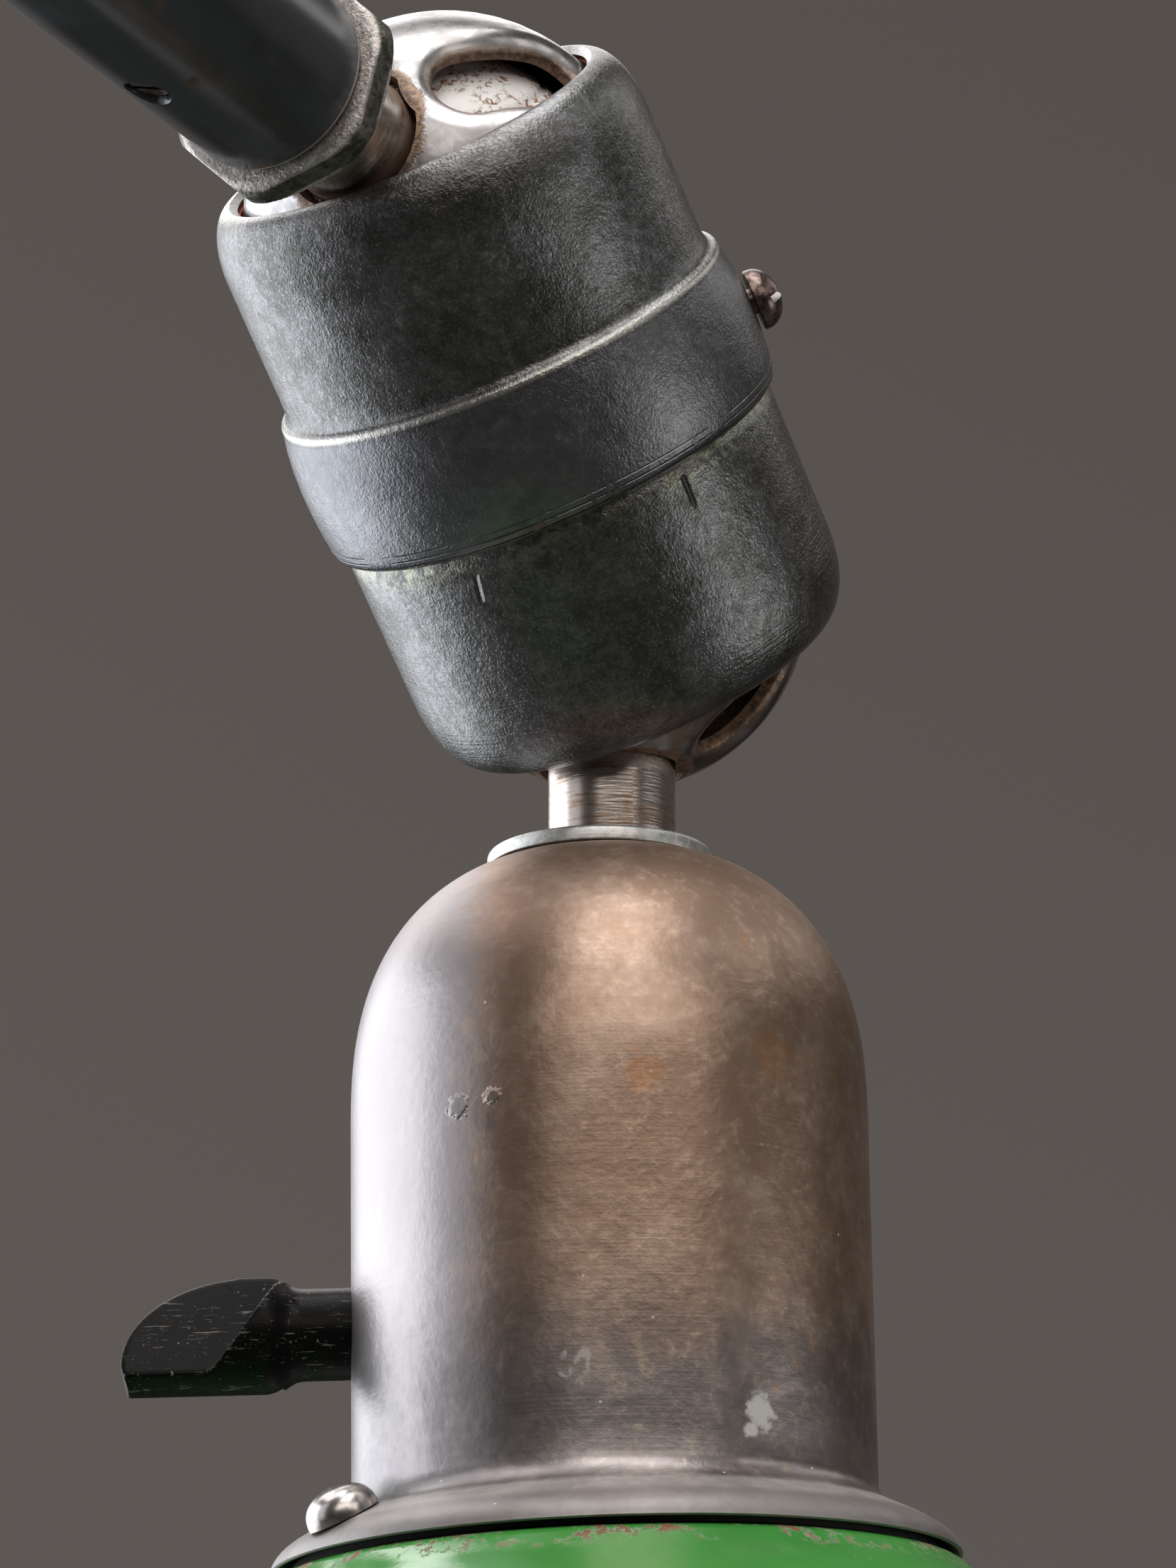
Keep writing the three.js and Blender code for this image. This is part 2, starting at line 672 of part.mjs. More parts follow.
// One double ball joint: the housing with its seats, and a ball with its stem at each end.
function ballJoint(name, centre, axis) {
  const group = along(centre, axis);
  group.add(
    named(`${name}_upper_shell`, upperShell(), MATERIAL.castAluminium),
    named(`${name}_lower_shell`, lowerShell(), MATERIAL.castAluminium),
    named(`${name}_lock_screw`, lockScrew(), MATERIAL.steel),
    named(`${name}_spring`, spring(), MATERIAL.springSteel),
  );
  for (const [end, side, lip] of [['upper', 1, UPPER_LIP], ['lower', -1, LOWER_LIP]]) {
    const seat = new THREE.Group();
    seat.position.z = (side * BALL_SPACING) / 2;
    seat.rotation.x = side > 0 ? 0 : Math.PI;
    seat.add(named(`${name}_${end}_friction_ring`, frictionRing(lip), MATERIAL.fibre));
    seat.add(named(`${name}_${end}_thrust_cup`, thrustCup(), MATERIAL.aluminium));
    group.add(seat);
  }
  lamp.add(group);
}

function ballAndStem(name, centre, direction, threaded) {
  const group = along(centre, direction, BALL_TURN[name] ?? 0);
  group.add(named(`${name}_ball`, ball(), MATERIAL.nickel));
  group.add(named(`${name}_stem`, stem(threaded), MATERIAL.stemNickel));
  lamp.add(group);
}

// One arm: the tube, and at each end a lock nut and a set screw. It runs between two balls.
function arm(name, from, direction) {
  const group = along(from, direction);
  const tube = named(`${name}_tube`, armTube(), MATERIAL.tubePaint);
  tube.position.z = TUBE.start;
  group.add(tube);
  const nutHeights = { near: NUT.start, far: armReach - NUT.start - NUT.thickness };
  const screwStart = TUBE.start + SET_SCREW.fromEnd;
  const screwHeights = { near: screwStart, far: armReach - screwStart };
  for (const end of ['near', 'far']) {
    const nut = named(`${name}_${end}_lock_nut`, lockNut(), MATERIAL.steel);
    nut.position.z = nutHeights[end];
    const screw = named(`${name}_${end}_set_screw`, setScrew(), MATERIAL.steel);
    screw.position.z = screwHeights[end];
    group.add(nut, screw);
  }
  lamp.add(group);
}

const step = (from, direction, distance) => from.clone().addScaledVector(direction, distance);
const middle = (centre, axis) => step(centre, axis, BALL_SPACING / 2);

const baseAxis = inArmPlane(BASE_JOINT_ELEVATION);
const lowerArmAxis = inArmPlane(LOWER_ARM_ELEVATION);
const elbowAxis = inArmPlane(ELBOW_JOINT_ELEVATION);
const upperArmAxis = inArmPlane(UPPER_ARM_ELEVATION);
const headAxis = UP.clone().applyAxisAngle(new THREE.Vector3(0, 1, 0), radians(HEAD_JOINT_TILT));
headAxis.applyAxisAngle(UP, radians(HEAD_JOINT_AZIMUTH));

const baseLowerBall = new THREE.Vector3(0, 0, FOOT.bossTop + STEM_SEAT);
const baseUpperBall = step(baseLowerBall, baseAxis, BALL_SPACING);
const elbowLowerBall = step(baseUpperBall, lowerArmAxis, armReach);
const elbowUpperBall = step(elbowLowerBall, elbowAxis, BALL_SPACING);
const headUpperBall = step(elbowUpperBall, upperArmAxis, armReach);
const headLowerBall = step(headUpperBall, headAxis, -BALL_SPACING);
const coverTop = step(headLowerBall, DOWN, STEM_SEAT);

lamp.add(
  named('foot', foot(), MATERIAL.castIron),
  named('foot_pad', footPad(), MATERIAL.rubber),
  named('cable_gland', cableGland(), MATERIAL.rubber),
);
ballAndStem('base_lower', baseLowerBall, DOWN, false);
ballJoint('base', middle(baseLowerBall, baseAxis), baseAxis);
ballAndStem('base_upper', baseUpperBall, lowerArmAxis, true);
arm('lower_arm', baseUpperBall, lowerArmAxis);
ballAndStem('elbow_lower', elbowLowerBall, lowerArmAxis.clone().negate(), true);
ballJoint('elbow', middle(elbowLowerBall, elbowAxis), elbowAxis);
ballAndStem('elbow_upper', elbowUpperBall, upperArmAxis, true);
arm('upper_arm', elbowUpperBall, upperArmAxis);
ballAndStem('head_upper', headUpperBall, upperArmAxis.clone().negate(), true);
ballJoint('head', middle(headLowerBall, headAxis), headAxis);
ballAndStem('head_lower', headLowerBall, DOWN, false);

const head = new THREE.Group();
head.position.copy(coverTop);
head.position.x += HEAD_SHIFT;
head.rotation.y = radians(HEAD_LEAN);
head.add(
  named('stem_washer', washer(), MATERIAL.aluminium),
  named('lampholder_cover', lampholderCover(), MATERIAL.bronze),
  named('switch_key', keyHolder(switchKey()), MATERIAL.bakelite),
  named('key_spindle', keyHolder(keySpindle()), MATERIAL.brass),
  named('flange_screw', flangeScrew(), MATERIAL.nickel),
  named('lampholder', lampholder(), MATERIAL.brass),
  named('bulb_glass', bulbGlass(), MATERIAL.glass),
  named('bulb_cap', bulbCap(), MATERIAL.brass),
);
// The shade and what clamps it follow the bent flange.
const hung = new THREE.Group();
hung.rotation.y = radians(FLANGE_TILT);
hung.position.set(-SHADE.top * Math.sin(radians(FLANGE_TILT)), 0, -FLANGE_DROP);
hung.add(
  named('shade_gasket', gasket(), MATERIAL.rubber),
  named('shade', shade(), MATERIAL.enamel),
  named('shade_ring', shadeRing(), MATERIAL.brass),
);
head.add(hung);
lamp.add(head);

export default lamp;
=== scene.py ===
"""Looks of the swing arm desk lamp: a smooth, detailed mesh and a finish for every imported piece."""

import json
import math

import bmesh
import bpy
import numpy as np
from mathutils import Matrix, Quaternion, Vector


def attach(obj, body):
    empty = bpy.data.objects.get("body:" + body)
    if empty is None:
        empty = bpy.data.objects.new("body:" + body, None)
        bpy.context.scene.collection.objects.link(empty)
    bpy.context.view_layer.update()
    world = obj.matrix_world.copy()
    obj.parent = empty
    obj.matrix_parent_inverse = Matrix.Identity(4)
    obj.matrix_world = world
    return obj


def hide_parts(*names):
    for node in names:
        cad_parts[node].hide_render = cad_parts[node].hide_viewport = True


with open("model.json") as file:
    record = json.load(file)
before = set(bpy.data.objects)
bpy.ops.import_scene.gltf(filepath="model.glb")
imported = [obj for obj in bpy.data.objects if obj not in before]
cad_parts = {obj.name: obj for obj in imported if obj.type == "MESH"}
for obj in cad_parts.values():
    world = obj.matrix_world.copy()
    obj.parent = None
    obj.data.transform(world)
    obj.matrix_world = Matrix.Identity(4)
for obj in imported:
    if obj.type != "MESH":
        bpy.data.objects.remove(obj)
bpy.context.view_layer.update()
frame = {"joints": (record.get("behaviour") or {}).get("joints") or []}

MM = 0.001
UP = Vector((0, 0, 1))
JOINTS = {joint["name"]: joint for joint in frame["joints"]}

# ---------- driving dimensions, in millimetres ----------
BALL_RADIUS = 23.0
BALL_WALL = 1.8
BALL_HOLE = 8.3
BALL_EDGE_POLAR = 114
CUP_DOME = 18.4
WINDOW = {"count": 3, "polar": 54.5, "length": 20.4, "width": 9.4, "roll": 3.6, "lip": 2.3}
BALL_TURN = {"head_upper": 1, "head_lower": 71}
BALL_SPACING = 48.8
HOUSING = {"bore": 24.1, "upper_radius": 25.9, "lower_radius": 26.2}
SPIGOT = {"radius": 25.9, "top": 4.3}
BAND = {"foot": -7.35, "top": 8.75, "line": 9.15}
UPPER_LIP = {"opening": 22.3, "height": 10.5, "start": 2.6, "polar": 67}
LOWER_LIP = {"opening": 21.9, "height": 11.4, "start": 2.5, "polar": 65.5}
LIP_EDGE_RADIUS = 23.66
FRICTION_RING = {"inside": 23.38, "outside": 24.22, "seat": 24.7, "polar": 77.5}
LOCK_SCREW = {"height": 0.7, "start": 24.6, "seat": 28.4, "shank": 1.5, "radius": 3.6, "hole": 1.9}
CUP_RING = {"radius": 20.3, "top": 3.2, "bottom": -4.3}
CUP_HUB = {"bore": 3.9, "radius": 7, "top": -8.6, "bottom": -12.5}
STEM = {"bore": 3.6, "radius": 7.3, "collar": 7.9, "start": 18.7, "seat": 31.4, "end": 40.8}
SHANK = {"radius": 8, "end": 66}
TUBE = {"radius": 10.9, "bore": 9.2, "length": 350, "start": 37.7}
SET_SCREW = {"from_end": 20.5, "turn": 76, "radius": 2.1}
NUT = {"across_flats": 24, "round": 13.3, "bore": 8.6, "thickness": 3.8, "start": 33.6, "turn": -15}
HEAD = {"lean": -0.9, "shift": -0.75, "washer_shift": -0.65, "flange_tilt": -1.03, "flange_drop": 0.3}
COVER = {"radius": 29.2, "wall": 1, "hole": 8.4, "top": -2.1, "skirt": -73.6}
CROWN = {"height": 31.75, "middle": -32, "exponent": 2.5}
KEY = {"azimuth": 176, "height": -54.9, "turn": 25}
FOOT_RADIUS = 130
GLAND_HEIGHT = 9.5
VIEW = {"lens": 124.9, "from_washer": (-2.75, -600, -170), "pitch": 0.289, "roll": 0.002}
INDEX_MARKS = [
    {"azimuth": -62.6, "top": -8.5, "length": 4.4, "lean": -0.05},
    {"azimuth": -120.8, "top": -9.6, "length": 3.8, "lean": -0.42},
]


# ---------- places, from the frame ----------
def centre(ball):
    """The centre of a ball, from the joint about its stem."""
    return Vector(JOINTS[ball + "_spin"]["pos_m"])


def stem_direction(ball):
    """From the ball's centre out along its stem."""
    away = -1 if ball in ("base_lower", "elbow_lower", "head_upper") else 1
    return Vector(JOINTS[ball + "_spin"]["axis"]) * away


def along(origin, direction, turn=0):
    """A frame whose own +Z lies along a direction, turned about it by an angle in degrees."""
    if direction.z < -0.99999:
        rotation = Quaternion((0, 1, 0), math.pi)
    else:
        rotation = UP.rotation_difference(direction)
    return Matrix.LocRotScale(origin, rotation, None) @ turned(turn)


def turned(angle, axis="Z"):
    """A turn about an axis, in degrees."""
    return Matrix.Rotation(math.radians(angle), 4, axis)


def moved(x, y, z):
    """A shift in millimetres."""
    return Matrix.Translation((x * MM, y * MM, z * MM))


def raised(height):
    """A shift along the frame's own axis, in millimetres."""
    return moved(0, 0, height)


def radial(azimuth, height):
    """Turns a shape built along +Z so that it lies along +X, then round Z, at a height."""
    return raised(height) @ turned(azimuth) @ turned(90, "Y")


# ---------- outlines and meshes ----------
def arc(radius, start, end, steps, height=0.0):
    """Points on a circle about [0, height], between two polar angles in degrees from +Z."""
    angles = np.radians(np.linspace(start, end, steps + 1))
    return [(radius * math.sin(a), height + radius * math.cos(a)) for a in angles]


def rounded(corners, steps=4):
    """An outline with rounded corners; each corner is (radius, height) or (radius, height, fillet)."""
    outline = []
    for i, corner in enumerate(corners):
        point = np.array(corner[:2], float)
        sides = [np.array(corners[k % len(corners)][:2], float) - point for k in (i - 1, i + 1)]
        lengths = [np.linalg.norm(side) for side in sides]
        fillet = corner[2] if len(corner) > 2 else 0
        if fillet == 0 or min(lengths) < 1e-6:
            outline.append(tuple(point))
            continue
        reach = min(fillet, 0.49 * lengths[0], 0.49 * lengths[1])
        start, end = (point + side / length * reach for side, length in zip(sides, lengths))
        for t in np.linspace(0, 1, steps + 1):
            outline.append(tuple((1 - t) ** 2 * start + 2 * t * (1 - t) * point + t**2 * end))
    return outline


def new_mesh(name, points, faces, sharp=50):
    """A smooth-shaded mesh from points in millimetres, with sharp edges above an angle in degrees."""
    mesh = bpy.data.meshes.new(name)
    mesh.from_pydata((np.asarray(points, float) * MM).tolist(), [], faces)
    return tidy(mesh, sharp)


def tidy(mesh, sharp):
    """Welds doubled points, turns the faces outwards and shades the mesh smooth."""
    bm = bmesh.new()
    bm.from_mesh(mesh)
    bmesh.ops.remove_doubles(bm, verts=bm.verts, dist=2e-6)
    bmesh.ops.dissolve_degenerate(bm, edges=bm.edges, dist=1e-6)
    bmesh.ops.recalc_face_normals(bm, faces=bm.faces)
    bm.to_mesh(mesh)
    bm.free()
    mesh.polygons.foreach_set("use_smooth", [True] * len(mesh.polygons))
    mesh.set_sharp_from_angle(angle=math.radians(sharp))
    return mesh


def lathe(name, outline, segments, sharp=50):
    """A body turned about Z from a closed outline of (radius, height) in millimetres."""
    radii, heights = np.array(outline, float).T
    radii = np.maximum(radii, 0)
    turns = np.arange(segments)[:, None] * 2 * math.pi / segments
    points = np.stack([radii * np.cos(turns), radii * np.sin(turns), heights + 0 * turns], -1)
    rows = len(radii)
    faces = []
    for i in range(segments):
        here, there = i * rows, (i + 1) % segments * rows
        for j in range(rows):
            k = (j + 1) % rows
            if max(radii[j], radii[k]) > 1e-6:
                faces.append((here + j, there + j, there + k, here + k))
    return new_mesh(name, points.reshape(-1, 3), faces, sharp)


def angle_and_distance(points):
    """The angle and the distance from Z of each point."""
    return np.arctan2(points[:, 1], points[:, 0]), np.hypot(points[:, 0], points[:, 1])


def deformed(mesh, change):
    """Moves a mesh's points by a function of an (n, 3) array in millimetres."""
    points = np.empty(len(mesh.vertices) * 3)
    mesh.vertices.foreach_get("co", points)
    points = change(points.reshape(-1, 3) / MM) * MM
    mesh.vertices.foreach_set("co", points.ravel())
    mesh.update()
    return mesh


def linked(name, data):
    """A new object in the scene."""
    thing = bpy.data.objects.new(name, data)
    bpy.context.scene.collection.objects.link(thing)
    return thing


def evaluated(thing, *tools):
    """An object's mesh after its modifiers. The object and its tools are removed."""
    result = bpy.data.meshes.new_from_object(thing.evaluated_get(bpy.context.evaluated_depsgraph_get()))
    for used in (thing, *tools):
        bpy.data.objects.remove(used)
    return result


def boolean(mesh, operation, *others):
    """A mesh with others taken away from it, or what it has in common with another."""
    body = linked("body", mesh)
    tools = [linked("tool", other) for other in others]
    for tool in tools:
        modifier = body.modifiers.new("boolean", "BOOLEAN")
        modifier.operation, modifier.solver, modifier.object = operation, "EXACT", tool
    return evaluated(body, *tools)


def cut(mesh, *cutters, sharp=50):
    """Cuts other meshes out of a mesh."""
    return tidy(boolean(mesh, "DIFFERENCE", *cutters), sharp)


def slab(outline, low, high):
    """A plate in the plane of X and Z, between two heights along Y."""
    count = len(outline)
    points = [(x, low, z) for x, z in outline] + [(x, high, z) for x, z in outline]
    faces = [tuple(range(count)), tuple(range(2 * count - 1, count - 1, -1))]
    faces += [(i, i + count, (i + 1) % count + count, (i + 1) % count) for i in range(count)]
    return new_mesh("slab", points, faces)


def slotted(screw, width, bottom):
    """A screw with a slot across its head, down to a height."""
    half, reach, top = width / 2, 6, bottom + 4
    slot = slab([(-half, bottom), (half, bottom), (half, top), (-half, top)], -reach, reach)
    return cut(screw, slot, sharp=35)


def rod(radius, bottom, top):
    return lathe("rod", [(0, bottom), (radius, bottom), (radius, top), (0, top)], 32)


def placed(mesh, matrix):
    mesh.transform(matrix)
    return mesh


def show(name, mesh, matrix, material, body):
    """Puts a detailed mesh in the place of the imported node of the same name."""
    piece = linked(name + "_look", mesh)
    piece.matrix_world = matrix
    for finish in material if isinstance(material, list) else [material]:
        mesh.materials.append(finish)
    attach(piece, body)
    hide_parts(name)


# ---------- finishes ----------
class Value:
    """An output of a node. Sums, products and | for the larger of two add nodes of their own."""

    def __init__(self, nodes, socket):
        self.nodes, self.socket = nodes, socket

    def __add__(self, other):
        return self.nodes.math("ADD", self, other)

    def __sub__(self, other):
        return self.nodes.math("SUBTRACT", self, other)

    def __rsub__(self, other):
        return self.nodes.math("SUBTRACT", other, self)

    def __mul__(self, other):
        return self.nodes.math("MULTIPLY", self, other)

    def __or__(self, other):
        return self.nodes.math("MAXIMUM", self, other)


class Nodes:
    """A node tree and the steps that build it, with a place and its parts to start from."""

    def __init__(self, tree, place, scale):
        self.tree = tree
        self.place = self.vector("MULTIPLY", self.add("ShaderNodeTexCoord", {}, place), (scale,) * 3)
        parts = (self.add("ShaderNodeSeparateXYZ", {0: self.place}, axis) for axis in range(3))
        self.x, self.y, self.z = parts
        self.across = self.length(self.x, self.y)

    def feed(self, socket, value):
        if isinstance(value, Value):
            self.tree.links.new(value.socket, socket)
        elif isinstance(value, tuple) and len(value) == 3 and socket.type == "RGBA":
            socket.default_value = (*value, 1)
        else:
            socket.default_value = value

    def add(self, kind, inputs, output=0, **settings):
        """A new node with values or links on its inputs; the value is one of its outputs."""
        node = self.tree.nodes.new(kind)
        for key, value in settings.items():
            setattr(node, key, value)
        for key, value in inputs.items():
            self.feed(node.inputs[key], value)
        return Value(self, node.outputs[output])

    def vector(self, operation, a, b, output=0):
        return self.add("ShaderNodeVectorMath", {0: a, 1: b}, output, operation=operation)

    def math(self, operation, a, b=0.0, clamp=False):
        return self.add("ShaderNodeMath", {0: a, 1: b}, operation=operation, use_clamp=clamp)

    def length(self, a, b):
        """The length of the long side over two sides at right angles."""
        return self.math("SQRT", self.math("POWER", a, 2) + self.math("POWER", b, 2))

    def angle(self):
        """The angle round Z, in radians."""
        return self.math("ARCTAN2", self.y, self.x)

    def step(self, value, low, high):
        """0 below low and 1 above high, smooth between; falling if low is the larger."""
        inputs = {"Value": value, "From Min": min(low, high), "From Max": max(low, high)}
        inputs["To Min"], inputs["To Max"] = (1.0, 0.0) if low > high else (0.0, 1.0)
        return self.add("ShaderNodeMapRange", inputs, "Result", interpolation_type="SMOOTHSTEP")

    def around(self, value, middle, half_width):
        """1 at a value and 0 half a width away."""
        return self.step(self.math("ABSOLUTE", value - middle), half_width, 0)

    def pattern(self, kind, vector, shift, output, **inputs):
        """A texture over a vector, moved by a shift."""
        moved = self.vector("ADD", vector, (shift,) * 3)
        return self.add(kind, {"Vector": moved, "Scale": 1.0, **inputs}, output)

    def noise(self, size, detail=3.0, roughness=0.55, distortion=0.0, stretch=(1, 1, 1), shift=0.0):
        """Noise with features of a size; stretch makes them longer along an axis."""
        scaled = self.vector("DIVIDE", self.place, tuple(size * s for s in stretch))
        inputs = {"Detail": detail, "Roughness": roughness, "Distortion": distortion}
        return self.pattern("ShaderNodeTexNoise", scaled, shift, "Fac", **inputs)

    def turned_noise(self, height, length, detail=3.0):
        """Fine lines round the axis, as a lathe or a spinning tool leaves them."""
        parts = {0: self.angle() * (20 / length)}
        parts[1], parts[2] = (self.math("DIVIDE", part, height) for part in (self.across, self.z))
        lines = self.add("ShaderNodeCombineXYZ", parts)
        return self.pattern("ShaderNodeTexNoise", lines, 0, "Fac", Detail=detail)

    def cells(self, size):
        """Distance from the middle of random cells of a size: 0 in the middle."""
        scaled = self.vector("DIVIDE", self.place, (size,) * 3)
        return self.pattern("ShaderNodeTexVoronoi", scaled, 0.0, "Distance", Randomness=1.0)

    def mix(self, factor, a, b):
        """A colour between two."""
        return self.add("ShaderNodeMix", {"Factor": factor, "A": a, "B": b}, "Result", data_type="RGBA")

    def blend(self, factor, a, b):
        """A number between two."""
        return self.add("ShaderNodeMix", {0: factor, 2: a, 3: b}, data_type="FLOAT")

    def spot(self, point, radius, ragged=0.6, size=1.2):
        """A ragged spot round a point of the piece."""
        wobble = (self.noise(size, 4) - 0.5) * (2 * ragged * radius)
        return self.step(self.vector("DISTANCE", self.place, point, "Value") + wobble, radius, radius * 0.55)

    def ray(self, kind):
        """1 for rays of a kind: Camera, Glossy or Transmission."""
        return self.add("ShaderNodeLightPath", {}, f"Is {kind} Ray")


class Finish(Nodes):
    """A material's nodes. Lengths are in millimetres, in the piece's own frame."""

    def __init__(self, name):
        self.material = bpy.data.materials.new(name)
        self.material.use_nodes = True
        super().__init__(self.material.node_tree, "Object", 1000)
        self.shader = self.tree.nodes["Principled BSDF"]
        self.colour = self.normal = None

    def tint(self, factor, tone):
        """Lays a tone over the colour so far."""
        self.colour = self.mix(factor, self.colour, tone)

    def relief(self, height, depth):
        """Adds a relief to the one so far: a height from 0 to 1, of a depth in millimetres."""
        inputs = {"Strength": 1.0, "Distance": depth * MM, "Height": height}
        if self.normal is not None:
            inputs["Normal"] = self.normal
        self.normal = self.add("ShaderNodeBump", inputs, "Normal")

    def done(self, roughness, metallic, specular=0.5):
        inputs = {"Base Color": self.colour, "Roughness": roughness, "Metallic": metallic}
        inputs["Specular IOR Level"] = specular
        if self.normal is not None:
            inputs["Normal"] = self.normal
        for key, value in inputs.items():
            self.feed(self.shader.inputs[key], value)
        return self.material


def index_mark(f, mark):
    """A short upright mark in the lower shell, just under the band."""
    down = mark["top"] - f.z
    middle = (down * mark["lean"] + mark["azimuth"]) * (math.pi / 180)
    side = (f.angle() - middle) * HOUSING["lower_radius"]
    return f.around(side, 0, 0.5) * f.step(down, 0, 0.5) * f.step(down, mark["length"], mark["length"] - 1.0)


def cast_aluminium():
    """Mottled, oxidised casting: the band is smoother and bluer, its upper line is worn bright."""
    f = Finish("cast_aluminium")
    broad = f.noise(7, 4, 0.65, 0.4)
    middling = f.noise(1.3, 5, 0.7, 0.3, shift=7)
    grain = f.noise(0.33, 2, 0.6, shift=3)
    mottle = broad * 0.55 + middling * 0.45
    f.colour = f.mix(f.step(mottle, 0.36, 0.68), (0.094, 0.096, 0.09), (0.235, 0.239, 0.247))
    higher = f.math("ADD", f.step(f.z, -2, 4), 0.3, clamp=True)
    bloom = f.step(middling, 0.52, 0.7) * f.step(broad, 0.46, 0.66) * higher
    f.tint(bloom * 0.25, (0.4, 0.4, 0.39))
    f.tint(f.step(grain, 0.54, 0.7) * 0.32, (0.5, 0.5, 0.495))
    f.tint(f.step(grain, 0.44, 0.32) * 0.4, (0.07, 0.07, 0.065))
    foot, top = BAND["foot"], BAND["top"]
    band = f.step(f.z, foot + 0.05, foot + 0.45) * f.step(f.z, top - 0.05, top - 0.45)
    band_colour = f.mix(f.step(mottle, 0.38, 0.66), (0.16, 0.165, 0.177), (0.24, 0.247, 0.262))
    f.tint(band * 0.8, band_colour)
    line = f.around(f.z, BAND["line"], 0.6)
    f.tint(line * 0.65, (0.75, 0.73, 0.68))
    under = f.step(f.z, foot - 4.15, foot - 0.25) * f.step(f.z, foot + 0.45, foot + 0.05)
    grime = under * f.step(middling, 0.42, 0.6)
    f.tint(grime * 0.6, (0.36, 0.37, 0.26))
    turned = f.around(f.z, -6.1, 0.16) | f.around(f.z, -5.3, 0.12) | f.around(f.z, -7.0, 0.25)
    turned = turned * f.step(broad, 0.4, 0.55)
    f.tint(turned * 0.6, (0.05, 0.05, 0.05))
    marks = index_mark(f, INDEX_MARKS[0]) | index_mark(f, INDEX_MARKS[1])
    f.tint(marks * 0.4, (0.05, 0.05, 0.05))
    lathe_marks = f.turned_noise(0.25, 30, 2)
    low = f.step(f.z, -16, -27)
    roughness = f.blend(band, f.blend(bloom, 0.28, 0.44), 0.3)
    roughness = f.blend(line, roughness, 0.3)
    metallic = f.blend(bloom, 0.95, 0.6)
    f.relief(grain, 0.075)
    f.relief(middling, 0.11)
    f.relief(1.0 - (marks | turned), 0.2)
    f.relief(lathe_marks * (low * 0.8 + 0.15), 0.05)
    return f.done(roughness, metallic)


def polished_nickel(name, stain):
    """A ball: polished where it faces out, brown on its windows' walls and round its hole."""
    f = Finish(name)
    from_centre = f.length(f.across, f.z)
    haze = f.noise(3.2, 4, 0.6, 0.5)
    f.colour = f.mix(f.step(haze, 0.42, 0.68), (0.4, 0.395, 0.4), (0.29, 0.28, 0.28))
    tarnish = f.noise(1.1, 4, 0.7, shift=5)
    wall = f.step(from_centre, BALL_RADIUS - 0.6, BALL_RADIUS - 1.5)
    hole = f.step(f.across + tarnish * 2, 10.5, 9.9) * f.step(f.z, 0, 5)
    brown = f.mix(f.step(tarnish, 0.42, 0.6), (0.3, 0.185, 0.105), (0.1, 0.055, 0.03))
    f.tint(f.step(haze, 0.3, 0.6) * stain, (0.3, 0.2, 0.14))
    dirt = wall * f.step(tarnish, 0.2, 0.4) | hole
    fleck = f.step(f.noise(1.6, 3, shift=11), 0.66, 0.72) * f.step(haze, 0.4, 0.6)
    f.tint(dirt * 0.85 | fleck * 0.5, brown)
    roughness = f.blend(dirt, f.blend(f.step(haze, 0.4, 0.7), 0.24, 0.36), 0.5)
    f.relief(haze, 0.02)
    f.relief(tarnish * dirt, 0.15)
    return f.done(roughness, f.blend(dirt, 1.0, 0.7))


def cup_aluminium():
    """Light turned metal with rust speckles and streaks."""
    f = Finish("cup_aluminium")
    speck = f.noise(0.8, 4, 0.7, 0.6)
    patch = f.noise(5, 3, 0.5, shift=4)
    rust = f.step(speck, 0.5, 0.6) * f.step(patch, 0.4, 0.54)
    f.colour = f.mix(rust, (0.93, 0.915, 0.9), f.mix(speck, (0.42, 0.2, 0.09), (0.2, 0.09, 0.05)))
    f.relief(f.turned_noise(0.3, 25, 2), 0.03)
    f.relief(speck, 0.06)
    return f.done(f.blend(rust, 0.5, 0.8), f.blend(rust, 0.12, 0.0))


def stem_nickel():
    """Turned and plated, worn to copper brown, with rust where it enters the ball."""
    f = Finish("stem_nickel")
    rings = f.turned_noise(0.35, 12, 4)
    patch = f.noise(4, 4, 0.6, 0.4, shift=2)
    tint = rings * 0.4 + patch * 0.6
    f.colour = f.mix(f.step(tint, 0.46, 0.64), (0.58, 0.52, 0.475), (0.39, 0.28, 0.2))
    rust = f.step(f.z, 23.5, 20.5) * f.step(f.noise(0.6, 4, 0.7), 0.3, 0.5)
    scratch = f.step(rings, 0.63, 0.7) * f.step(patch, 0.5, 0.62)
    f.tint(scratch * 0.45, (0.15, 0.08, 0.05))
    f.tint(rust, (0.17, 0.09, 0.05))
    roughness = f.blend(rust, f.blend(patch, 0.17, 0.36), 0.75)
    f.relief(rings, 0.035)
    return f.done(roughness, f.blend(rust, 1.0, 0.4))


def tube_paint():
    """Blue-grey satin, with a worn bright lip at each end and a few rust spots."""
    f = Finish("tube_paint")
    cloud = f.noise(14, 3, 0.5)
    streaks = f.noise(1.4, 3, 0.6, stretch=(1, 1, 14), shift=3)
    f.colour = f.mix(f.step(cloud, 0.35, 0.65), (0.074, 0.081, 0.087), (0.112, 0.122, 0.136))
    f.tint(f.step(streaks, 0.6, 0.75) * 0.35, (0.24, 0.19, 0.15))
    spots = f.step(f.cells(11), 0.11, 0.06) * f.step(f.noise(17, 2), 0.45, 0.6)
    f.tint(spots, (0.11, 0.04, 0.015))
    ends = f.step(f.z, 0.9, 0.45) | f.step(f.z, TUBE["length"] - 0.9, TUBE["length"] - 0.45)
    f.tint(ends * 0.85, (0.6, 0.56, 0.52))
    roughness = f.blend(spots | ends * 0.4, f.blend(cloud, 0.2, 0.28), 0.7)
    f.relief(f.noise(0.5, 2), 0.012)
    return f.done(roughness, f.blend(spots, 0.65, 0.0))


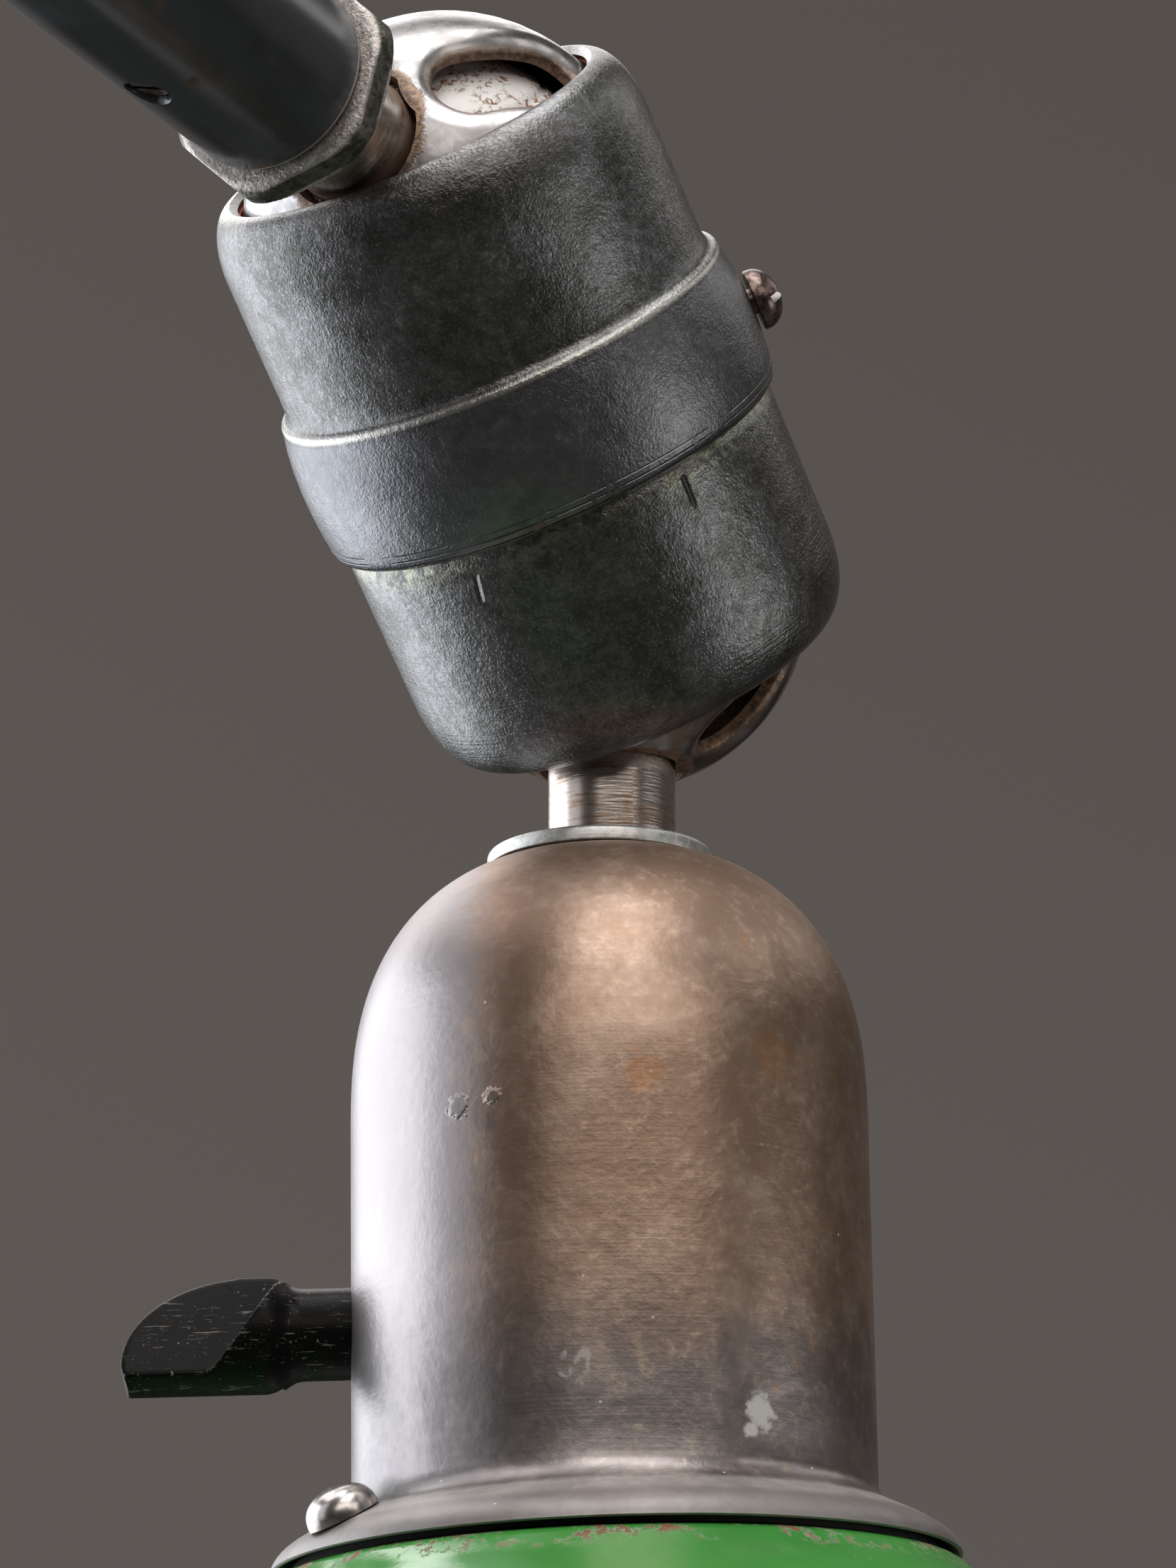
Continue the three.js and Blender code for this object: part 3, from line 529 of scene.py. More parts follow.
def pitted_steel():
    """A lock nut: pale, pitted end faces and dark, greenish sides."""
    f = Finish("pitted_steel")
    coarse = f.noise(1.3, 4, 0.7, 0.4)
    pits = f.noise(0.4, 3, 0.6, shift=5)
    side = f.mix(f.step(coarse, 0.38, 0.62), (0.045, 0.046, 0.034), (0.15, 0.145, 0.12))
    face = f.mix(f.step(coarse, 0.4, 0.6), (0.42, 0.39, 0.37), (0.62, 0.585, 0.565))
    end = f.step(f.z, 0.75, 0.35) | f.step(f.z, NUT["thickness"] - 0.75, NUT["thickness"] - 0.35)
    f.colour = f.mix(end, side, face)
    f.tint(f.step(pits, 0.54, 0.66) * 0.65, (0.09, 0.08, 0.065))
    f.relief(pits, 0.14)
    f.relief(coarse, 0.2)
    return f.done(f.blend(coarse, 0.38, 0.6), 0.8)


def dark_steel():
    """Small screws: browned steel, brighter on top."""
    f = Finish("dark_steel")
    patch = f.noise(1.1, 4, 0.6)
    f.colour = f.mix(f.step(patch, 0.4, 0.64), (0.09, 0.066, 0.058), (0.25, 0.185, 0.165))
    f.relief(f.noise(0.3, 3), 0.03)
    return f.done(f.blend(patch, 0.22, 0.42), 1.0)


def spun_aluminium():
    """The washer: dull, mottled, with a bright turned edge."""
    f = Finish("spun_aluminium")
    patch = f.noise(1.6, 4, 0.65, 0.3)
    f.colour = f.mix(f.step(patch, 0.4, 0.62), (0.5, 0.52, 0.5), (0.7, 0.71, 0.69))
    f.tint(f.step(f.noise(0.5, 3, shift=8), 0.64, 0.72), (0.24, 0.25, 0.22))
    f.relief(f.turned_noise(0.2, 20, 2), 0.03)
    return f.done(f.blend(patch, 0.34, 0.52), 0.9)


def bronzed_cover():
    """Satin brown patina, greyer near the flange, with blemishes and specks of paint. Its left side is
    painted greyer and cooler: painted light, the tint of the cool lamp at the left laid into the colour.
    """
    f = Finish("bronzed_cover")
    cloud = f.noise(16, 4, 0.55, 0.5)
    patch = f.noise(4, 4, 0.65, 0.4, shift=9)
    fine = f.noise(1.1, 4, 0.65, shift=15)
    tone = cloud * 0.5 + patch * 0.3 + fine * 0.2
    f.colour = f.mix(f.step(tone, 0.4, 0.62), (0.325, 0.222, 0.165), (0.47, 0.35, 0.278))
    # Painted light: the left side is tinted cool grey-lilac, standing in for the cool lamp at the left on
    # the brown patina.
    left = f.step(f.x + patch * 5, -8.5, -15.5)
    f.tint(left * 0.85, f.mix(tone, (0.315, 0.304, 0.318), (0.4, 0.387, 0.4)))
    low = f.step(f.z + patch * 12, -45, -63)
    f.tint(low * 0.85, f.mix(f.step(tone, 0.4, 0.62), (0.2, 0.19, 0.195), (0.3, 0.29, 0.29)))
    gold = f.step(fine, 0.5, 0.68) * f.step(patch, 0.42, 0.6) * f.step(f.x, -6, 2)
    f.tint(gold * 0.4, (0.6, 0.46, 0.33))
    orange = f.step(f.noise(2.4, 4, 0.7, shift=21), 0.56, 0.7) * f.step(f.x, 6, 20)
    orange = orange | f.spot((3.4, -28.8, -32.4), 2.6, 1.1) | f.spot((17.4, -23.2, -29.5), 3.4, 1.1)
    f.tint(orange * 0.45, (0.46, 0.23, 0.1))
    flange = f.step(f.across + fine, 31.2, 32.8)
    pale = f.mix(f.step(tone, 0.4, 0.6), (0.38, 0.35, 0.335), (0.56, 0.535, 0.52))
    f.tint(flange * 0.85, pale)
    rim = f.step(f.across + fine, 34.8, 36.8)
    f.tint(rim * 0.65, (0.2, 0.187, 0.182))
    dents = f.spot((-16.6, -23.8, -35.1), 1.5, 0.7) | f.spot((-12.8, -26.1, -34.4), 1.1, 0.8)
    f.tint(dents * 0.4, (0.2, 0.19, 0.19))
    specks = f.step(f.cells(4.2), 0.052, 0.025) * f.step(f.noise(8, 2, shift=2), 0.45, 0.56)
    paint = f.spot((15.3, -24.7, -69.1), 2.2, 0.9) | f.spot((14.3, -25.2, -71.0), 1.1, 0.7) | specks
    faint = f.spot((-4.2, -28.7, -64.1), 2.6, 0.9) * f.step(fine, 0.48, 0.6)
    paint = paint * 0.85 | faint * 0.4
    f.tint(paint, (0.66, 0.65, 0.63))
    grain = f.turned_noise(0.3, 14, 3)
    crown_dull = f.step(f.z, -22, -5) * 0.2
    roughness = f.blend(patch, 0.3, 0.38) + grain * 0.04 + crown_dull
    roughness = f.blend(flange, roughness, 0.5)
    roughness = f.blend(paint, roughness, 0.75)
    f.relief(grain, 0.01)
    f.relief(fine, 0.04)
    f.relief(cloud, 0.2)
    f.relief(dents, 0.4)
    return f.done(roughness, f.blend(paint, f.blend(flange, 0.95, 0.75), 0.0))


def bakelite():
    """Glossy black moulding with fine pale scratches, worn where edges are handled."""
    f = Finish("bakelite")
    one = f.noise(0.22, 2, 0.5, stretch=(1, 9, 14), shift=3)
    two = f.noise(0.2, 2, 0.5, stretch=(12, 1.5, 3), shift=9)
    fleck = f.noise(0.35, 2, shift=4)
    patch = f.noise(3.5, 3, shift=1)
    scratches = (
        f.step(one, 0.63, 0.7) * f.step(patch, 0.4, 0.58)
        | f.step(two, 0.68, 0.75) * f.step(patch, 0.58, 0.42)
        | f.step(fleck, 0.66, 0.72) * f.step(patch, 0.42, 0.58)
    )
    wear = f.add("ShaderNodeAttribute", {}, "Fac", attribute_name="wear")
    worn = f.step(wear, 0.55, 0.9) * f.step(f.noise(0.5, 3, 0.7), 0.46, 0.62)
    marks = scratches * 0.5 | worn
    f.colour = f.mix(marks, (0.006, 0.0058, 0.0055), (0.42, 0.41, 0.39))
    roughness = f.blend(marks, f.blend(patch, 0.24, 0.38), 0.6)
    f.relief(scratches, 0.02)
    return f.done(roughness, 0.0, specular=0.1)


def bright_nickel():
    f = Finish("bright_nickel")
    haze = f.noise(1.2, 4, 0.6)
    f.colour = f.mix(f.step(haze, 0.4, 0.68), (0.6, 0.575, 0.555), (0.4, 0.37, 0.345))
    f.relief(haze, 0.008)
    return f.done(f.blend(haze, 0.2, 0.34), 1.0)


def green_enamel():
    """Glossy enamel with a fine waviness, chipped to rust along the top edge."""
    f = Finish("green_enamel")
    cloud = f.noise(18, 3)
    f.colour = f.mix(f.step(cloud, 0.35, 0.65), (0.045, 0.26, 0.045), (0.065, 0.32, 0.06))
    ragged = f.noise(1.5, 4, 0.7, 0.4)
    edge = f.step(f.across, 36.2, 37.2) * f.step(f.z, -85.5, -83.2)
    sparse = f.step(f.noise(7, 3, 0.6, shift=12), 0.46, 0.56)
    chips = edge * sparse * f.step(ragged, 0.52, 0.6)
    rim = edge * sparse * f.step(ragged, 0.48, 0.54)
    scuffs = f.step(f.noise(0.8, 4, 0.7, shift=6), 0.62, 0.7) * f.step(f.noise(9, 2, shift=3), 0.5, 0.62)
    f.tint(scuffs * 0.4, (0.45, 0.6, 0.42))
    f.tint(rim * 0.7, (0.5, 0.5, 0.42))
    f.tint(chips, f.mix(ragged, (0.42, 0.17, 0.06), (0.16, 0.06, 0.025)))
    roughness = f.blend(chips | scuffs * 0.6, 0.16, 0.6)
    f.relief(f.noise(2.2, 2), 0.03)
    f.relief(1.0 - chips, 0.12)
    return f.done(roughness, 0.0)


def white_enamel():
    f = Finish("white_enamel")
    cloud = f.noise(14, 3)
    f.colour = f.mix(f.step(cloud, 0.35, 0.65), (0.72, 0.71, 0.66), (0.8, 0.79, 0.75))
    f.relief(f.noise(2.2, 2), 0.03)
    return f.done(0.2, 0.0)


def plain(name, dark, light, roughness, metallic, size=2.0, relief=0.03):
    """A finish with a little change of tone, for small or hidden pieces."""
    f = Finish(name)
    patch = f.noise(size, 4, 0.6)
    f.colour = f.mix(f.step(patch, 0.38, 0.64), dark, light)
    f.relief(patch, relief)
    return f.done(f.blend(patch, roughness - 0.05, roughness + 0.08), metallic)


def foot_paint():
    """Black wrinkle-free paint on a casting, worn to metal on its edge."""
    f = Finish("foot_paint")
    cast = f.noise(2.6, 4, 0.6)
    f.colour = f.mix(f.step(f.noise(22, 3), 0.35, 0.65), (0.022, 0.024, 0.025), (0.036, 0.038, 0.04))
    edge = f.step(f.across, FOOT_RADIUS - 6, FOOT_RADIUS - 1)
    worn = f.step(f.noise(3.0, 4, 0.7, shift=5), 0.56, 0.66) * edge
    f.tint(worn, (0.3, 0.29, 0.27))
    roughness = f.blend(worn, f.blend(cast, 0.3, 0.42), 0.5)
    f.relief(cast, 0.15)
    return f.done(roughness, f.blend(worn, 0.0, 0.8))


CAST = cast_aluminium()
NICKEL = polished_nickel("polished_nickel", 0.0)
STAINED_NICKEL = polished_nickel("stained_nickel", 0.75)
CUP = cup_aluminium()
WORN_NICKEL = stem_nickel()
PAINT = tube_paint()
PITTED = pitted_steel()
DARK = dark_steel()
WASHER = spun_aluminium()
BRONZE = bronzed_cover()
BAKELITE = bakelite()
BRIGHT = bright_nickel()
GREEN = green_enamel()
WHITE = white_enamel()
FIBRE = plain("red_fibre", (0.3, 0.05, 0.025), (0.42, 0.1, 0.05), 0.75, 0.0, 0.8)
SPRING = plain("spring_steel", (0.25, 0.25, 0.26), (0.4, 0.4, 0.4), 0.35, 1.0)
RUBBER = plain("black_rubber", (0.012, 0.012, 0.012), (0.022, 0.022, 0.022), 0.8, 0.0, 1.2)
BRASS = plain("dull_brass", (0.42, 0.29, 0.12), (0.56, 0.42, 0.2), 0.35, 1.0)
CAP = plain("cap_brass", (0.55, 0.5, 0.38), (0.68, 0.62, 0.48), 0.3, 1.0)
OPAL = plain("opal_glass", (0.85, 0.84, 0.8), (0.9, 0.89, 0.86), 0.12, 0.0, 20, 0.0)
IRON = foot_paint()


# ---------- ball joints ----------
def stadium(half_length, half_width, count):
    """Evenly spread points round a slot with round ends."""
    straight = 2 * (half_length - half_width)
    half_turn = math.pi * half_width
    points = []
    for s in np.arange(count) / count * 2 * (straight + half_turn):
        side = 1 if s < straight + half_turn else -1
        s = s % (straight + half_turn)
        if s < straight:
            u, v = straight / 2 - s, half_width
        else:
            angle = math.pi / 2 + (s - straight) / half_width
            u, v = half_width * math.cos(angle) - straight / 2, half_width * math.sin(angle)
        points.append((side * u, side * v))
    return np.array(points)


def window_rings(count):
    """Rings of (polar, azimuth, radius) round a window: along the skin, down the wall and under it."""
    half_length, half_width = WINDOW["length"] / 2, WINDOW["width"] / 2
    polar = math.radians(WINDOW["polar"])
    roll = WINDOW["roll"]
    bends = np.radians(np.linspace(0, 52, 9))
    widest = roll * math.sin(bends[-1]) + 0.25
    skin = [(widest - roll * math.sin(bend), roll * (1 - math.cos(bend)) * 0.85) for bend in bends]
    deepest = skin[-1][1]
    wall = [(0.06, deepest + 0.18), (0, deepest + 0.5), (0, WINDOW["lip"]), (0.25, WINDOW["lip"] + 0.35)]
    under = [(0.9, WINDOW["lip"] + 0.2), (2.0, BALL_WALL + 0.35), (skin[0][0], BALL_WALL)]
    rings = []
    for away, depth in skin + wall + under:
        u, v = stadium(half_length + away, half_width + away, count).T
        w = np.sqrt(BALL_RADIUS**2 - u**2 - v**2)
        x = u * math.cos(polar) + w * math.sin(polar)
        z = -u * math.sin(polar) + w * math.cos(polar)
        radius = np.full(count, BALL_RADIUS - depth)
        rings.append(np.stack([np.arccos(z / BALL_RADIUS), np.arctan2(v, x), radius], -1))
    return rings


def sector_border(ring, low, high, side):
    """Where rays from the window's middle through a ring meet the border of its third of the ball."""
    middle = np.array([math.radians(WINDOW["polar"]), 0])
    ray = ring[:, :2] - middle
    to_high = (high - middle[0]) / np.maximum(ray[:, 0], 1e-9)
    to_low = (low - middle[0]) / np.minimum(ray[:, 0], -1e-9)
    to_side = side / np.maximum(np.abs(ray[:, 1]), 1e-9)
    reach = np.minimum(np.where(ray[:, 0] > 0, to_high, to_low), to_side)
    border = middle + ray * reach[:, None]
    for corner in [(low, side), (low, -side), (high, side), (high, -side)]:
        nearest = np.argmin(np.linalg.norm(border - corner, axis=1))
        border[nearest] = corner
    return border


def towards(border, ring, shares, radius):
    """Rings that lie shares of the way from a ring to the border, at a radius."""
    places = (ring[:, :2] * (1 - share) + border * share for share in shares)
    return [np.column_stack([place, np.full(len(ring), radius)]) for place in places]


def ball_mesh(count=144):
    """A hollow ball with long windows whose edges roll inwards."""
    low, high = math.asin(BALL_HOLE / BALL_RADIUS), math.radians(BALL_EDGE_POLAR)
    side = math.pi / WINDOW["count"]
    rings = window_rings(count)
    border = sector_border(rings[0], low, high, side)
    outward = towards(border, rings[0], np.linspace(1, 0, 9)[:-1], BALL_RADIUS)
    inward = towards(border, rings[-1], np.linspace(0, 1, 6)[1:], BALL_RADIUS - BALL_WALL)
    rings = outward + rings + inward
    points, faces = [], []
    for sector in range(WINDOW["count"]):
        base = len(points)
        for ring in rings:
            polar, azimuth, radius = ring.T
            azimuth = azimuth + 2 * side * sector
            flat = radius * np.sin(polar)
            x, y, z = flat * np.cos(azimuth), flat * np.sin(azimuth), radius * np.cos(polar)
            points.extend(np.stack([x, y, z], -1))
        for j in range(len(rings) - 1):
            for i in range(count):
                a, b = base + j * count + i, base + j * count + (i + 1) % count
                faces.append((a, b, b + count, a + count))
        for i in range(count):
            k = (i + 1) % count
            polar = border[[i, k], 0]
            if min(np.abs(polar - low).max(), np.abs(polar - high).max()) < 1e-6:
                last = base + (len(rings) - 1) * count
                faces.append((base + k, base + i, last + i, last + k))
    return new_mesh("ball", points, faces)


def spring_mesh(radius=5.2, wire=0.9, turns=3.5, height=21.4, steps=160, sides=12):
    """A round wire wound into a coil, with closed ends."""
    points, faces = [], []
    for i in range(steps + 1):
        t = i / steps
        angle = 2 * math.pi * turns * t
        outward = np.array([math.cos(angle), math.sin(angle), 0])
        middle = outward * radius + np.array([0, 0, height * (t - 0.5)])
        for k in range(sides):
            turn = 2 * math.pi * k / sides
            points.append(middle + wire * (outward * math.cos(turn) + np.array([0, 0, math.sin(turn)])))
    for i in range(steps):
        for k in range(sides):
            a, b = i * sides + k, i * sides + (k + 1) % sides
            faces.append((a, b, b + sides, a + sides))
    faces.append(tuple(range(sides)))
    faces.append(tuple(steps * sides + k for k in range(sides)))
    return new_mesh("spring", points, faces)


def rim_outside(lip, wall_radius):
    """A quarter ellipse from the housing's wall up to its opening."""
    foot = BALL_SPACING / 2 + lip["start"]
    angles = np.linspace(0, math.pi / 2, 21)
    opening, rise = lip["opening"], lip["height"] - lip["start"]
    return [(opening + (wall_radius - opening) * math.cos(a), foot + rise * math.sin(a)) for a in angles]


def rim_inside(lip):
    """A narrow lip over the friction ring's seat."""
    middle = BALL_SPACING / 2
    edge = arc(LIP_EDGE_RADIUS, lip["polar"] - 1.7, lip["polar"] - 0.3, 3, middle)
    return edge + arc(FRICTION_RING["seat"], lip["polar"], FRICTION_RING["polar"], 5, middle)


def upper_shell_outline():
    """The shell with the band: barrel, step over the band's line, then wall, rim and inside."""
    foot, line, wall = BAND["foot"], BAND["line"], HOUSING["upper_radius"]
    barrel = [(26.75, foot), (27.3, -6.9), (27.62, -5.9), (27.86, -3.6), (28.02, -0.8), (28.04, 1.6)]
    barrel += [(27.9, 4.2), (27.6, 6.6), (27.22, 8.35), (27.16, BAND["top"]), (27.14, line)]
    barrel += [(26.95, 9.5), (26.55, 9.72), (26.2, 10.0), (26.02, 10.5), (25.94, 11.4), (wall, 13)]
    step, around_spigot = SPIGOT["top"] + 0.4, SPIGOT["radius"] + 0.3
    inside = [(HOUSING["bore"], step), (around_spigot, step), (around_spigot, foot)]
    return barrel + rim_outside(UPPER_LIP, wall) + rim_inside(UPPER_LIP) + inside


def lower_shell_outline():
    """The shell below the band, drawn upside down, with the spigot that goes up inside the other."""
    top = SPIGOT["top"]
    outline = rim_inside(LOWER_LIP)[::-1] + rim_outside(LOWER_LIP, HOUSING["lower_radius"])[::-1]
    outline += [(26.22, 20), (26.25, 14), (26.3, 9.2), (26.22, 8.4), (25.95, 7.75), (25.9, 7.4)]
    outline += [(SPIGOT["radius"], -top), (HOUSING["bore"], -top)]
    return [(radius, -height) for radius, height in outline]


def shell_mesh(name, outline):
    """A shell with the hole for the lock screw."""
    hole = placed(rod(LOCK_SCREW["hole"], 20, 32), radial(0, LOCK_SCREW["height"]))
    return cut(lathe(name, outline, 192, 40), hole, sharp=40)


def lock_screw_mesh():
    """A round head with a slot, standing a little off the shell, on its short shank."""
    start, seat, shank, radius = (LOCK_SCREW[key] for key in ("start", "seat", "shank", "radius"))
    height, edge = 3.2, 0.55
    angles = np.linspace(0, math.pi / 2, 12)
    dome = [(radius * math.cos(a), seat + edge + (height - edge) * math.sin(a)) for a in angles]
    outline = [(0, start), (shank, start), (shank, seat), (radius - 0.15, seat), (radius, seat + 0.15)]
    return slotted(lathe("lock_screw", outline + dome, 64), 0.85, seat + height - 1.4)


def friction_ring_mesh(lip):
    start, end = lip["polar"] + 0.3, FRICTION_RING["polar"]
    inside = arc(FRICTION_RING["inside"], start, end, 4)
    return lathe("ring", inside + arc(FRICTION_RING["outside"], end, start, 4), 96)


def thrust_cup_mesh():
    """A domed cup with a shallow groove; its ring carries the ball from inside."""
    bore, hub, low = CUP_HUB["bore"], CUP_HUB["radius"], CUP_HUB["bottom"]
    start = math.degrees(math.asin(bore / CUP_DOME))
    dome = arc(CUP_DOME, start, 58, 16) + arc(CUP_DOME - 0.25, 59, 60.5, 2) + arc(CUP_DOME, 61.5, 78, 6)
    radius, top, bottom = CUP_RING["radius"], CUP_RING["top"], CUP_RING["bottom"]
    corners = [(radius - 0.3, top, 0.6), (radius, 0, 0.5), (radius - 0.4, bottom, 0.5)]
    corners += [(hub, CUP_HUB["top"], 0.5), (hub, low, 0.3), (bore, low)]
    return lathe("cup", dome + rounded(corners), 96)


def stem_mesh(threaded):
    """The stem with its collar inside the ball; a threaded one carries on as a shank into the tube."""
    bore, radius, collar, start = STEM["bore"], STEM["radius"], STEM["collar"], STEM["start"]
    shank, neck = SHANK["radius"], STEM["seat"] + 0.1
    end = SHANK["end"] if threaded else STEM["end"]
    corners = [(bore, start), (collar, start, 0.2), (collar, start + 0.8, 0.2), (radius, start + 0.8, 0.1)]
    if threaded:
        corners += [(radius, neck), (shank, neck, 0.2), (shank, end, 0.3)]
    else:
        corners += [(radius, end, 0.2)]
    return lathe("stem", rounded(corners + [(bore, end)]), 96)


STEM_BODIES = {
    "base_lower": "foot_body", "base_upper": "lower_arm", "elbow_lower": "lower_arm",
    "elbow_upper": "upper_arm", "head_upper": "upper_arm", "head_lower": "head",
}


def build_joints():
    """Three double ball joints with the same parts."""
    ball, spring, screw, cup = ball_mesh(), spring_mesh(), lock_screw_mesh(), thrust_cup_mesh()
    upper_shell = shell_mesh("upper_shell", upper_shell_outline())
    lower_shell = shell_mesh("lower_shell", lower_shell_outline())
    rings = {"upper": friction_ring_mesh(UPPER_LIP), "lower": friction_ring_mesh(LOWER_LIP)}
    stems = {True: stem_mesh(True), False: stem_mesh(False)}
    half = BALL_SPACING / 2
    seats = {"upper": raised(half), "lower": raised(-half) @ turned(180, "X")}
    metals = {"upper": NICKEL, "lower": STAINED_NICKEL}
    for name in ("base", "elbow", "head"):
        housing = name + "_housing"
        bottom, top = centre(name + "_lower"), centre(name + "_upper")
        place = along((bottom + top) / 2, (top - bottom).normalized())
        show(name + "_upper_shell", upper_shell.copy(), place, CAST, housing)
        show(name + "_lower_shell", lower_shell.copy(), place, CAST, housing)
        on_screw = place @ radial(0, LOCK_SCREW["height"])
        show(name + "_lock_screw", screw.copy(), on_screw, DARK, housing)
        show(name + "_spring", spring.copy(), place, SPRING, housing)
        for end in ("upper", "lower"):
            side = f"{name}_{end}"
            on_seat, seat = place @ seats[end], side + "_seat"
            show(side + "_friction_ring", rings[end].copy(), on_seat, FIBRE, seat)
            show(side + "_thrust_cup", cup.copy(), on_seat, CUP, seat)
            own = along(centre(side), stem_direction(side), BALL_TURN.get(side, 0))
            show(side + "_ball", ball.copy(), own, metals[end], side + "_ball_body")
            stem = stems[side not in ("base_lower", "head_lower")].copy()
            show(side + "_stem", stem, own, WORN_NICKEL, STEM_BODIES[side])


# ---------- arms ----------
def tube_mesh():
    radius, bore, length = TUBE["radius"], TUBE["bore"], TUBE["length"]
    corners = [(bore, 0, 0.3), (radius, 0, 0.8), (radius, length, 0.8), (bore, length, 0.3)]
    inner, outer = bore - 2, radius + 0.6
    countersunk = [(0, inner), (2.4, inner), (2.4, radius - 0.5), (3.1, outer), (0, outer)]
    holes = []
    for height in (SET_SCREW["from_end"], length - SET_SCREW["from_end"]):
        holes.append(placed(lathe("hole", countersunk, 48), radial(SET_SCREW["turn"], height)))
    return cut(lathe("tube", rounded(corners), 128), *holes, sharp=35)


def nut_mesh():
    """A thin hexagonal nut, its corners turned off to a rounded outline."""
    flat, crest, thick, bore = NUT["across_flats"] / 2, NUT["round"], NUT["thickness"], NUT["bore"]
    slope = [(crest - 1.5 + 1.5 * t, 1.1 * t**1.6) for t in np.linspace(0, 1, 9)]
    outline = [(bore, 0), (flat - 0.9, 0), *slope]
    outline += [(radius, thick - height) for radius, height in outline[::-1]]

    def flatten(points):
        angle, radius = angle_and_distance(points)
        reach = flat / np.cos(np.radians((np.degrees(angle) + 30) % 60 - 30))
        points[:, :2] *= (np.minimum(radius, reach) / radius)[:, None]
        return points

    return deformed(lathe("nut", outline, 144, 25), flatten)


def set_screw_mesh():
    """A slotted screw, sunk a little below the tube's wall."""
    radius, bottom, top = SET_SCREW["radius"], 8.3, TUBE["radius"] - 0.7
    outline = rounded([(0, bottom), (radius, bottom), (radius, top, 0.25), (0, top)])
    return slotted(lathe("set_screw", outline, 48), 0.7, top - 0.75)


def build_arms():
    """Two arms of the same parts: a tube, a lock nut at each end and a set screw at each end."""
    tube, nut, screw = tube_mesh(), nut_mesh(), set_screw_mesh()
    reach = 2 * TUBE["start"] + TUBE["length"]
    screw_start = TUBE["start"] + SET_SCREW["from_end"]
    nut_heights = {"near": NUT["start"], "far": reach - NUT["start"] - NUT["thickness"]}
    screw_heights = {"near": screw_start, "far": reach - screw_start}
    for name, ball in (("lower_arm", "base_upper"), ("upper_arm", "elbow_upper")):
        place = along(centre(ball), stem_direction(ball))
        show(name + "_tube", tube.copy(), place @ raised(TUBE["start"]), PAINT, name)
        for end in ("near", "far"):
            on_tube = place @ raised(nut_heights[end]) @ turned(NUT["turn"])
            show(f"{name}_{end}_lock_nut", nut.copy(), on_tube, PITTED, name)
            in_hole = place @ radial(SET_SCREW["turn"], screw_heights[end])
            show(f"{name}_{end}_set_screw", screw.copy(), in_hole, DARK, name)


# ---------- lamp head, on heights below the washer's top face ----------
FLANGE = [(31.9, -76.9), (34.4, -77.6), (37.3, -78.8), (37.9, -80.3), (38.2, -81.4)]
GASKET = {"inside": 30, "outside": 35.8, "thickness": 1.2}
SHADE = {"top": -82.4, "hole": 16.4, "shoulder": 37.6, "mouth": 97, "bottom": -186, "wall": 0.9}
BULB = {"neck": 12.4, "start": -88.4, "radius": 30, "middle": -139, "wall": 0.8}
FLANGE_SCREW = {"azimuth": 211, "distance": 34.2, "height": -78.5, "lean": 29}


def bezier(points, steps):
    """Points on a curve from its control points."""
    order = len(points) - 1
    points = np.array(points, float)
    t = np.linspace(0, 1, steps + 1)[:, None]
    shares = [math.comb(order, k) * (1 - t) ** (order - k) * t**k for k in range(order + 1)]
    return [tuple(place) for place in sum(share * point for share, point in zip(shares, points))]


def crown(offset, steps):
    """The cover's crown: a superellipse, fuller than a hemisphere."""
    highest = (COVER["top"] - CROWN["middle"]) / CROWN["height"]
    share = highest * np.sin(np.linspace(0, math.pi / 2, steps + 1))
    full = (1 - share ** CROWN["exponent"]) ** (1 / CROWN["exponent"])
    heights = CROWN["middle"] + CROWN["height"] * share - offset * share
    return list(zip((COVER["radius"] - offset) * full, heights))


def cover_mesh():
    """The domed cover, spun from sheet, with a flange that is bent a little out of square."""
    outside, skirt, sheet = COVER["radius"], COVER["skirt"], COVER["wall"]
    slope = bezier([(outside, skirt), (outside + 0.1, skirt - 2.5), *FLANGE], 22)
    lip = [(38.25, -81.55), (38.05, -81.75), (37.7, -81.7), (37.4, -81.3)]
    under = [(r - 0.85, z - 0.55) for r, z in slope[-5:1:-1]]
    hole = [(COVER["hole"], COVER["top"] - sheet), (COVER["hole"], COVER["top"])]
    wall = [(outside, z) for z in np.linspace(-34, -71, 12)]
    inside = [(outside - sheet, skirt + 0.2), (outside - sheet, -34)]
    outline = lip + under + inside + crown(sheet, 20) + hole + crown(0, 48)[::-1] + wall + slope

    def bend(points):
        share = np.clip((angle_and_distance(points)[1] - outside) / 1.5, 0, 1)
        tilt = points[:, 0] * math.tan(math.radians(HEAD["flange_tilt"]))
        points[:, 2] -= share * (tilt + HEAD["flange_drop"])
        return points

    key_hole = placed(rod(5.7, 20, 36), radial(KEY["azimuth"], KEY["height"]))
    return cut(deformed(lathe("cover", outline, 256, 60), bend), key_hole, sharp=60)


def washer_mesh():
    radius, hole, thick = 12.9, 8.9, 1.8
    corners = [(hole, 0), (radius, 0, 0.75), (radius, -thick, 0.2), (hole, -thick)]
    return lathe("washer", rounded(corners, 6), 128)


def key_blank():
    """The key's rounded body and the slanting cuts that leave a flat wing."""
    half, start, neck, shoulder, tip = 6.9, 27.4, 35.6, 38, 54.8
    corners = [(0, start), (5.2, start), (5.2, neck, 1), (half, shoulder, 1), (half, tip), (0, tip)]
    blank = lathe("key", rounded(corners), 64)
    profile = [(-half - 1, start - 1), (half + 1, start - 1), (half + 1, tip - 1.6)]
    profile += bezier([(half + 0.6, tip - 1.6), (half, tip), (half - 2.4, tip)], 6)
    back = [(half - 2.4, tip), (-half * 0.3, tip), (-half + 1, tip - 6.5), (-half + 0.5, tip - 12)]
    profile += bezier(back, 16) + [(-half - 1, shoulder)]
    near = bezier([(-half - 2, neck + 0.8), (half * 0.5, neck + 2), (half + 0.5, neck + 11)], 14)
    near += [(half + 2, tip + 2), (-half - 2, tip + 2)]
    return blank, profile, near


